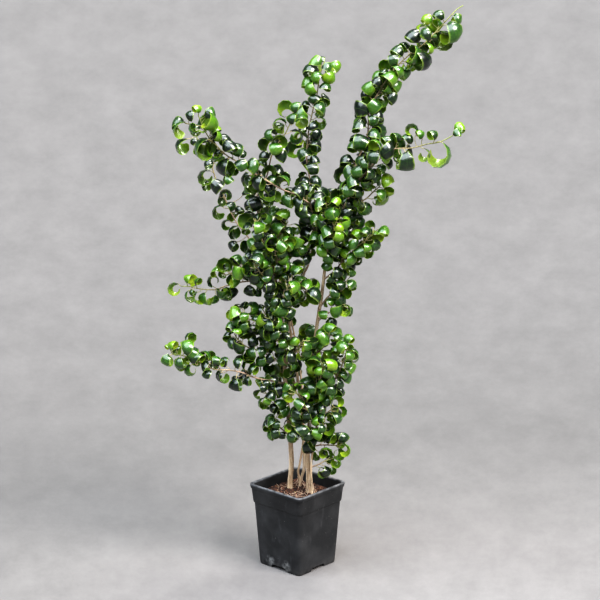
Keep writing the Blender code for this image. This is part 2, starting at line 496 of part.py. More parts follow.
def make_pot(parts, cutters):
    """The tapered shell with its lip, its ledge, four drain notches and four drain holes."""
    pot = loft("pot", [pot_section(side, z) for side, z in pot_profile()], parts)
    room = [pot_section(inner_side(POT_FLOOR), POT_FLOOR),
            pot_section(inner_side(POT_HEIGHT + 0.002), POT_HEIGHT + 0.002)]
    boolean(pot, "DIFFERENCE", as_guide(loft("pot_room", room, cutters)))
    for quarter in range(4):
        boolean(pot, "DIFFERENCE", drain_notch(quarter, cutters))
        boolean(pot, "DIFFERENCE", drain_hole(quarter, cutters))
    finish_with(pot, (0.012, 0.012, 0.013), 0.5)
    return pot


def drain_notch(quarter, cutters):
    """A low arch through the bottom edge at the middle of one side."""
    bpy.ops.mesh.primitive_cube_add(size=1)
    notch = linked(bpy.context.object, cutters)
    notch.name = f"notch_{quarter}"
    angle = POT_TURN + quarter * math.pi / 2
    reach = POT_BASE_SIDE / 2
    for corner in notch.data.vertices:
        corner.co.x *= 2 * NOTCH_DEPTH
        corner.co.y *= NOTCH_WIDTH
        corner.co.z *= 2 * NOTCH_HEIGHT
        corner.co.x += reach
    rounding = notch.modifiers.new("Bevel", "BEVEL")
    rounding.width = 0.8 * NOTCH_HEIGHT
    rounding.segments = 2
    rounding.limit_method = "ANGLE"
    notch.rotation_euler.z = angle
    return as_guide(notch)


def drain_hole(quarter, cutters):
    """A round hole in the floor towards one corner."""
    angle = POT_TURN + (quarter + 0.5) * math.pi / 2
    place = (DRAIN_RING * math.cos(angle), DRAIN_RING * math.sin(angle), POT_FLOOR / 2)
    bpy.ops.mesh.primitive_cylinder_add(vertices=8, radius=DRAIN_RADIUS, depth=4 * POT_FLOOR,
                                        location=place)
    hole = linked(bpy.context.object, cutters)
    hole.name = f"drain_{quarter}"
    return as_guide(hole)


def soil_height(x, y, chance):
    """Height of the loose, slightly mounded surface."""
    out = math.hypot(x, y) / (POT_RIM_SIDE / 2)
    lumps = math.sin(420 * x + 1.3) * math.cos(370 * y - 0.4) + 0.8 * chance.uniform(-1, 1)
    return SOIL_EDGE + SOIL_MOUND * max(0, 1 - out * out) + SOIL_LUMP * lumps


def make_soil(parts, cutters, stems):
    """The root ball: it fills the pot to below the rim, and the stems stand in its holes."""
    chance = random.Random(SEED)
    foot = POT_FLOOR + GAP
    rings = [pot_section(inner_side(foot) - 2 * GAP, foot),
             pot_section(inner_side(SOIL_EDGE) - 2 * GAP, SOIL_EDGE)]
    for share in (0.84, 0.62, 0.4, 0.18):
        ring = pot_section((inner_side(SOIL_EDGE) - 2 * GAP) * share, SOIL_EDGE)
        rings.append([Vector((p.x, p.y, soil_height(p.x, p.y, chance))) for p in ring])
    soil = loft("soil", rings, parts)
    for name, wood in stems.items():
        hole = longer_tube("hole_for_" + name, wood.path, wood.radii, wood.stem.sides,
                           HOLE_SLACK, cutters)
        boolean(soil, "DIFFERENCE", as_guide(hole))
    finish_with(soil, (0.045, 0.027, 0.017), 0.95, smooth=False)
    return soil


# Stems and twigs

Wood = namedtuple("Wood", "stem path radii tree")
Twig = namedtuple("Twig", "spray path radii tree sites")


def longer_tube(name, path, radii, sides, grown, collection):
    """A tube round a path, fatter and longer at both ends by grown."""
    start = path[0] + (path[0] - path[1]).normalized() * grown
    end = path[-1] + (path[-1] - path[-2]).normalized() * grown
    thicker = [radius + grown for radius in radii]
    return tube(name, [start] + path[1:-1] + [end], thicker, sides, collection)


def prism(path, radii, sides=5):
    """A search tree of a plain prism round a path, for tests of clearance."""
    points = []
    faces = []
    across = (path[1] - path[0]).orthogonal().normalized()
    for k, place in enumerate(path):
        ahead = (path[min(k + 1, len(path) - 1)] - path[max(k - 1, 0)]).normalized()
        across = (across - ahead * across.dot(ahead)).normalized()
        side = ahead.cross(across)
        for s in range(sides):
            angle = s * math.tau / sides
            points.append(place + (across * math.cos(angle) + side * math.sin(angle)) * radii[k])
    for k in range(len(path) - 1):
        for s in range(sides):
            step = (s + 1) % sides
            faces.append((k * sides + s, k * sides + step,
                          (k + 1) * sides + step, (k + 1) * sides + s))
    return BVHTree.FromPolygons(points, faces)


def grown_stem(stem):
    """The stem's path, its radii and its search tree."""
    thick, thin = stem.thickness
    path = smooth_path([placed(*p) for p in stem.route], STEM_STEP)
    radii = tapered(len(path), thick / 2000, thin / 2000)
    return Wood(stem, path, radii, prism(path, [r + LEAF_CLEARANCE for r in radii], 8))


def finely(path):
    """Close points along a path, as its tube runs."""
    return [a.lerp(b, k / 6) for a, b in zip(path, path[1:]) for k in range(6)] + [path[-1]]


def clear_of(wood, path):
    """Close points along a twig, from where it has left its stem's bark."""
    axis = finely(wood.path)
    reach = wood.radii[0] + LEAFLESS_RISE
    return [p for p in finely(path) if min((p - q).length for q in axis) > reach]


def stem_start(spray, stems):
    """Where the spray's twig leaves its stem, on the stem's axis."""
    wood = stems[spray.stem]
    levels = [p[1] for p in wood.stem.route]
    at = next(k for k in range(1, len(levels)) if levels[k] >= spray.leaves_at)
    share = (spray.leaves_at - levels[at - 1]) / (levels[at] - levels[at - 1])
    low, high = Vector(wood.stem.route[at - 1]), Vector(wood.stem.route[at])
    wanted = placed(*low.lerp(high, share))
    return min(finely(wood.path), key=lambda p: (p - wanted).length)


def twig_path(spray, start, shift):
    """The twig's path, with all but its start moved nearer by shift centimetres."""
    points = [start]
    for k, (across, up, near) in enumerate(spray.route):
        ease = min(1, (k + 1) / 2)
        points.append(placed(across, up, near + shift * ease))
    return smooth_path(points, TWIG_STEP)


def trimmed(path, length):
    """The path without its first stretch of the given length."""
    run = 0
    for k in range(1, len(path)):
        run += (path[k] - path[k - 1]).length
        if run >= length:
            return path[k:]
    return path[-2:]


def grown_twig(spray, stems, twigs):
    """The twig of a spray, bent clear of the other stems and twigs."""
    start = stem_start(spray, stems)
    others = [s.tree for s in stems.values()] + [t.tree for t in twigs]
    for shift in TWIG_SHIFTS:
        path = twig_path(spray, start, shift)
        radii = tapered(len(path), TWIG_BASE, TWIG_TIP)
        free = trimmed(path, TWIG_ROOM)
        tree = prism(free, [TWIG_BASE + LEAF_CLEARANCE] * len(free))
        if not any(tree.overlap(other) for other in others):
            wide = [radius + LEAF_CLEARANCE for radius in radii]
            return Twig(spray, path, radii, prism(path, wide), clear_of(stems[spray.stem], path))
    raise ValueError("no clear way for " + spray.name)


# Leaves

Leaf = namedtuple("Leaf", "root centre radius toward rise width curl")


def midrib(leaf, share):
    """Place and outward direction at a share of the blade's length."""
    angle = LEAF_START + leaf.curl * share
    out = leaf.toward * math.cos(angle) + leaf.rise * math.sin(angle)
    reach = leaf.radius * (1 - LEAF_KEEL_PER_RADIUS - LEAF_TIGHTENING * share)
    return leaf.centre + out * reach, out


def section(place, out, axis, half_width, keel, grown):
    """Three corners across a blade: its two edges and the ridge along its back."""
    inside = place - out * grown
    return [inside + axis * (half_width + grown), place + out * (keel + grown),
            inside - axis * (half_width + grown)]


def leaf_solid(leaf, grown=0):
    """Corner points and faces of one curled blade, from its root in the twig to its tip."""
    axis = leaf.toward.cross(leaf.rise)
    first_out = midrib(leaf, 0)[1]
    points = section(leaf.root - first_out * LEAF_ROOT, first_out, axis,
                     LEAF_ROOT, 2 * LEAF_ROOT, 0)
    for share, width in zip(BLADE_SHARES, BLADE_WIDTHS):
        place, out = midrib(leaf, share)
        keel = leaf.radius * LEAF_KEEL_PER_RADIUS * width
        points += section(place, out, axis, leaf.width * width / 2, keel, grown)
    points.append(midrib(leaf, 1)[0])
    tip = len(points) - 1
    faces = [(2, 1, 0)]
    for a, b in ((0, 1), (1, 2), (2, 0)):
        faces.append((a, b, 3 + b, 3 + a))
    for low in range(3, tip - 3, 3):
        for a, b in ((0, 1), (1, 2), (2, 0)):
            faces.append((low + a, low + b, low + 3 + b))
            faces.append((low + a, low + 3 + b, low + 3 + a))
    for a, b in ((0, 1), (1, 2), (2, 0)):
        faces.append((tip - 3 + a, tip - 3 + b, tip))
    return points, faces


def blade_tree(leaf, grown):
    """A search tree of the blade without the stalk that joins it to its twig."""
    points, faces = leaf_solid(leaf, grown)
    return BVHTree.FromPolygons(points, [f for f in faces if min(f) >= 3])


def leaf_tree(leaf, grown):
    """A search tree of the whole leaf."""
    return BVHTree.FromPolygons(*leaf_solid(leaf, grown))


class Crown:
    """The leaves placed so far, with what a new leaf has to stay clear of."""

    def __init__(self, stems, twigs):
        self.stems = [s.tree for s in stems.values()]
        self.twigs = twigs
        self.leaves = {t.spray.name: [] for t in twigs}
        self.trees = []

    def has_room(self, leaf, twig):
        """Whether the leaf is clear of every stem, twig and leaf."""
        whole = leaf_tree(leaf, LEAF_CLEARANCE)
        if any(whole.overlap(tree) for tree in self.stems):
            return False
        for other in self.twigs:
            tried = blade_tree(leaf, LEAF_CLEARANCE) if other is twig else whole
            if tried.overlap(other.tree):
                return False
        reach = leaf.radius + (leaf.root - leaf.centre).length
        for centre, radius, tree in self.trees:
            if (centre - leaf.centre).length < reach + radius and whole.overlap(tree):
                return False
        return True

    def add(self, leaf, twig):
        """Keeps the leaf."""
        reach = leaf.radius + (leaf.root - leaf.centre).length
        self.leaves[twig.spray.name].append(leaf)
        self.trees.append((leaf.centre, reach, leaf_tree(leaf, 0)))


def nearest_on_twig(sites, sight):
    """The twig's point that shows nearest to a sight line."""
    def miss(point):
        ahead = point - VIEWPOINT
        return (ahead - sight * ahead.dot(sight)).length
    return min(sites, key=miss)


def set_leaf(twig, across, up, radius, facing, attempt, chance):
    """A leaf whose ring shows at a chosen place."""
    sight = (placed(across, up, 0) - VIEWPOINT).normalized()
    root = nearest_on_twig(twig.sites, sight)
    centre = VIEWPOINT + sight * (root - VIEWPOINT).dot(sight)
    radius = radius * CM * 0.96 ** attempt
    wanted = radius + chance.uniform(*PETIOLE)
    beside = root - centre
    if beside.length < wanted:
        side = -1 if attempt % 3 == 2 else 1
        centre -= sight * side * math.sqrt(wanted ** 2 - beside.length_squared)
    toward = (beside - UP * LEAF_HANG).normalized()
    toward = (toward - sight * toward.dot(sight)).normalized()
    rise = toward.cross(sight)
    if rise.z < 0:
        rise = -rise
    angle = math.radians(facing + chance.uniform(-20, 20) * attempt)
    rise = rise * math.cos(angle) - sight * math.sin(angle)
    return Leaf(root, centre, radius, toward, rise,
                radius * LEAF_WIDTH_PER_RADIUS, chance.uniform(*LEAF_CURL))


def rule_leaf(twig, share, turn, chance):
    """A leaf at a share of the twig's length, turned round it."""
    at = min(len(twig.sites) - 2, int(share * (len(twig.sites) - 1)))
    root = twig.sites[at]
    ahead = (twig.sites[at + 1] - root).normalized()
    side = ahead.cross(UP).normalized()
    over = side.cross(ahead)
    out = side * math.cos(turn) + over * math.sin(turn) + ahead * chance.uniform(-0.1, 0.5)
    out.normalize()
    lift = UP * 0.8 + ahead * 0.5 + side * chance.uniform(-0.5, 0.5)
    rise = (lift - out * lift.dot(out)).normalized()
    radius = chance.uniform(*LEAF_RADIUS)
    centre = root + out * (radius + chance.uniform(*PETIOLE))
    return Leaf(root, centre, radius, -out, rise,
                radius * LEAF_WIDTH_PER_RADIUS, chance.uniform(*LEAF_CURL))


def grown_leaves(stems, twigs):
    """Every leaf of the plant: the set ones first, and then those that follow the rule."""
    crown = Crown(stems, twigs)
    chance = random.Random(SEED)
    for twig in twigs:
        for across, up, radius, facing in twig.spray.set_leaves:
            for attempt in range(TRIES):
                leaf = set_leaf(twig, across, up, radius, facing, attempt, chance)
                if crown.has_room(leaf, twig):
                    crown.add(leaf, twig)
                    break
    for twig in twigs:
        turn = chance.uniform(0, math.tau)
        count = twig.spray.rule_leaves
        for k in range(count):
            turn += GOLDEN_ANGLE
            for attempt in range(TRIES):
                share = LAST_RULE_SHARE * (k + chance.uniform(0, 1)) / count
                swing = chance.uniform(-0.5, 0.5) * attempt
                leaf = rule_leaf(twig, share, turn + swing, chance)
                if crown.has_room(leaf, twig):
                    crown.add(leaf, twig)
                    break
    return crown.leaves


def make_spray(twig, leaves, stem_cutter, parts):
    """One leafy spray: its twig with every leaf joined to it, seated on its stem."""
    name = twig.spray.name
    spray = tube(name, twig.path, twig.radii, TWIG_SIDES, parts)
    boolean(spray, "DIFFERENCE", stem_cutter)
    blades = bpy.data.collections.new(name + "_blades")
    bpy.context.scene.collection.children.link(blades)
    for k, leaf in enumerate(leaves):
        points, faces = leaf_solid(leaf)
        object_from_mesh_data(f"{name}_leaf_{k}", points, faces, blades)
    if leaves:
        boolean(spray, "UNION", blades)
    for blade in list(blades.objects):
        bpy.data.objects.remove(blade)
    bpy.data.collections.remove(blades)
    finish_with(spray, (0.035, 0.13, 0.022), 0.35, smooth=False)
    return spray


def main():
    """Builds every piece of the plant."""
    for obj in list(bpy.data.objects):
        bpy.data.objects.remove(obj)
    parts = bpy.data.collections.new("weeping_fig")
    cutters = bpy.data.collections.new("cutters")
    for collection in (parts, cutters):
        bpy.context.scene.collection.children.link(collection)
    stems = {stem.name: grown_stem(stem) for stem in STEMS}
    make_pot(parts, cutters)
    make_soil(parts, cutters, stems)
    seats = {}
    for name, wood in stems.items():
        solid = tube(name, wood.path, wood.radii, wood.stem.sides, parts)
        finish_with(solid, (0.42, 0.30, 0.19), 0.75)
        seats[name] = as_guide(longer_tube("seat_" + name, wood.path, wood.radii,
                                           wood.stem.sides, GAP, cutters))
    twigs = []
    for spray in SPRAYS:
        twigs.append(grown_twig(spray, stems, twigs))
    leaves = grown_leaves(stems, twigs)
    for twig in twigs:
        make_spray(twig, leaves[twig.spray.name], seats[twig.spray.stem], parts)


main()
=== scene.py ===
"""The looks of a weeping fig with curled leaves, in a square black nursery pot.

The twigs and leaves grow by the same rules and from the same routes as the solids do,
so that each spray stands where its solid stands. Further leaves fill the crown out.
"""
import json
import math
import random
from collections import namedtuple

import bmesh
import bpy
import numpy as np
from mathutils import Matrix, Vector, noise
from mathutils.bvhtree import BVHTree

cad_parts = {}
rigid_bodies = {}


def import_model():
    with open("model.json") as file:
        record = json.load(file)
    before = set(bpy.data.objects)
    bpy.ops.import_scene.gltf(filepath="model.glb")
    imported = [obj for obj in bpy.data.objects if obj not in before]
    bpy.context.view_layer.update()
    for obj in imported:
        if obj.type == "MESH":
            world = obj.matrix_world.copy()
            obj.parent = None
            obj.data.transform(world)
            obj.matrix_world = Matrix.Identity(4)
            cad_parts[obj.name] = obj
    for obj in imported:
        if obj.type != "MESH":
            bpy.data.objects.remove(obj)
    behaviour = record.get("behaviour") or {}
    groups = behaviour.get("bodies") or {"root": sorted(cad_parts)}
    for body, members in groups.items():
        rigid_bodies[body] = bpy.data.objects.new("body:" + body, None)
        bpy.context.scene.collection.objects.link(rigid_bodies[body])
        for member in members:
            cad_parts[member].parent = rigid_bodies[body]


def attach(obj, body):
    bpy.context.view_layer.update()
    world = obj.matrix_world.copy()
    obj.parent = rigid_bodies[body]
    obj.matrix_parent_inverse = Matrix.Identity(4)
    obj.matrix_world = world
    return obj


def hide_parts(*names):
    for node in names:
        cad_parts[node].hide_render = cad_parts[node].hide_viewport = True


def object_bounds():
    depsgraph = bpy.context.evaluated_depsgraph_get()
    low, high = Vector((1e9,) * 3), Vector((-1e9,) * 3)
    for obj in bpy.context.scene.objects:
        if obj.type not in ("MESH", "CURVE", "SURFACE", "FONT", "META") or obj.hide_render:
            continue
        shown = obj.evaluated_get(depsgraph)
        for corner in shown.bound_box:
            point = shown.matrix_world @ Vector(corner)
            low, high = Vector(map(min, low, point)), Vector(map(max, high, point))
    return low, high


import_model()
CAD_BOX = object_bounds()

CM = 0.01
SEED = 41
VIEWPOINT = Vector((0.00345, -2.3335, 0.9546))
UP = Vector((0, 0, 1))

# Camera
CAMERA_PITCH = math.radians(14.09)
SENSOR = 36
FOCAL_LENGTH = 109.67

# Pot
POT_HEIGHT = 0.115
POT_RIM_SIDE = 0.095
POT_BASE_SIDE = 0.075
POT_TURN = math.radians(47.8)
POT_WALL = 0.0015
POT_FLOOR = 0.0025
RIM_LIP = 0.006
RIM_LIP_PROUD = 0.001
COLLAR_HEIGHT = 0.020
COLLAR_LEDGE = 0.0013
BASE_ROUND = 0.002
CORNER_SHARE = 0.08
CORNER_STEPS = 9
SIDE_STEPS = 10
NOTCH_WIDTH = 0.027
NOTCH_HEIGHT = 0.005
NOTCH_DEPTH = 0.008
DRAIN_RADIUS = 0.003
DRAIN_RING = 0.020
LIME_PLACES = ((-0.036, -0.018, 0.009), (-0.0145, -0.0375, 0.009))

# Soil
SOIL_EDGE = 0.0965
SOIL_MOUND = 0.006
SOIL_FILL = 0.0035
SOIL_LUMP = 0.0011
SOIL_GAP = 0.0003
SOIL_RINGS = 18
ROOT_THREADS = 34
AERIAL_ROOTS = 3

# Leaves
LEAF_RADIUS = (0.0084, 0.0106)
LEAF_WIDTH_PER_RADIUS = 1.95
LEAF_CURL = (math.radians(255), math.radians(315))
LEAF_START = math.radians(34)
LEAF_TIGHTENING = 0.24
LEAF_KEEL_PER_RADIUS = 0.30
LEAF_ROOT = 0.00035
LEAF_CLEARANCE = 0.0004
LEAF_HANG = 0.001
PETIOLE = (0.002, 0.005)
BLADE_SHARES = (0.0, 0.15, 0.47, 0.80)
BLADE_WIDTHS = (0.13, 0.92, 1.0, 0.70)
LEAFLESS_RISE = 0.004
LAST_RULE_SHARE = 0.92
FURTHER_PER_METRE = 420
LAST_FURTHER_SHARE = 0.98
FURTHER_SIZE = (0.68, 1.06)
LOOSE_ROLL = math.radians(32)
LOOSE_SIZE = (0.76, 1.0)
CROWDING = 0.55
PAST_SOLIDS = 0.002
GOLDEN_ANGLE = math.radians(137.5)
TRIES = 9

# The finer leaves
BLADE_ROWS = 9
BLADE_ARCH = (0.14, 0.36)
BLADE_THICKNESS = 0.05
BASE_DIP = 0.12
TIP_CURL = (math.radians(-25), math.radians(75))
BLADE_GROWTH = 1.12
BLADE_BREADTH = (0.64, 0.94)
BLADE_CONE = (0.06, 0.24)
FLARED_CONE = (0.30, 0.46)
FLARED_FROM = 0.75
FLARED_UP_TO = 0.012
LEAF_CURLS = 8
WIDER_TO_VIEW = 0.75
PETIOLE_RADIUS = 0.00045
PETIOLE_STEPS = 5

# The floor's clouds grow with their distance from the viewpoint, and end in front of the pot
CLOUD_NEAREST = 1.2
CLOUDS_FROM = -0.7
# Centre of the pool of light painted on the floor
LIGHT_POOL = (0.2, -0.4, 0)
FLOOR_SIZE = 600
BACKDROP = (0.46, 0.46, 0.468)

# Stems and twigs
STEM_STEP = 0.03
TWIG_STEP = 0.018
FINE_STEP = 0.003
TWIG_SIDES = 8
TWIG_BASE = 0.0012
TWIG_TIP = 0.0009
TWIG_ROOM = 0.009
TWIG_SHIFTS = (0, 0.4, -0.4, 0.8, -0.8, 1.2, -1.2, 1.6, -1.6, 2.0, -2.0, 2.6, -2.6)
STEM_SIDES = 16

Stem = namedtuple("Stem", "name route thickness sides")
Spray = namedtuple("Spray", "name stem leaves_at route set_leaves rule_leaves")

# A stem's thickness is given at its foot and at its top, in millimetres.
STEMS = [
    Stem("stem_left", [
        (-0.9, 6.0, -1.4), (-1.0, 10.9, -1.4), (-0.8, 14.2, -1.2), (-0.9, 16.9, -1.0),
        (-1.0, 18.6, -0.8), (-1.35, 22.5, -0.4), (-1.67, 26.8, 0.0), (-1.72, 28.5, 0.0),
        (-1.8, 31.2, 0.2), (-1.9, 33.1, 0.3), (-2.3, 36.5, 0.4), (-2.9, 40.0, 0.4),
        (-3.4, 43.1, 0.4), (-4.0, 45.3, 0.4), (-4.7, 47.0, 0.4)], (7.5, 2.6), 8),
    Stem("stem_right", [
        (1.3, 6.0, 0.3), (1.5, 10.2, 0.4), (1.43, 14.2, 0.4), (1.38, 15.7, 0.4),
        (1.6, 19.5, 0.3), (1.83, 23.1, 0.2), (1.6, 24.6, 0.2), (1.6, 26.0, 0.2),
        (1.8, 27.0, 0.2), (2.1, 29.8, 0.2), (2.4, 32.1, 0.2), (2.8, 35.0, 0.2),
        (3.1, 36.8, 0.2), (3.4, 39.2, 0.3), (3.7, 42.0, 0.5), (4.0, 44.4, 0.7),
        (4.6, 46.6, 0.9), (5.6, 48.6, 1.1)], (6.7, 3.2), 8),
    Stem("stem_middle", [
        (0.3, 6.5, -2.2), (0.35, 11.2, -2.2), (0.9, 13.5, -2.0), (0.9, 15.3, -2.0),
        (0.7, 20.0, -2.2), (0.2, 25.0, -2.4), (-0.5, 30.0, -2.0), (-1.0, 33.5, -1.4),
        (-0.95, 35.6, -1.0), (-0.6, 36.8, -0.8), (0.1, 38.7, -0.6), (0.7, 40.2, -0.5),
        (1.4, 41.6, -0.5), (2.0, 44.0, -0.6), (2.6, 46.2, -0.7)], (4.4, 2.6), 6),
    Stem("stem_thin", [
        (1.9, 6.5, 1.6), (1.95, 10.6, 1.5), (1.85, 13.3, 1.5), (2.0, 15.7, 1.4),
        (2.4, 18.5, 1.5), (3.1, 21.5, 1.7), (3.9, 23.8, 1.9)], (3.2, 2.2), 6),
    Stem("stem_back", [
        (0.2, 8.0, -3.4), (0.25, 11.8, -3.4), (0.1, 13.1, -3.4), (0.35, 14.4, -3.4),
        (0.8, 18.0, -3.9), (0.7, 23.0, -4.5), (0.3, 28.0, -4.6), (-0.6, 33.0, -4.4),
        (-1.8, 38.0, -4.2), (-3.4, 42.5, -3.8)], (3.0, 2.0), 6),
]

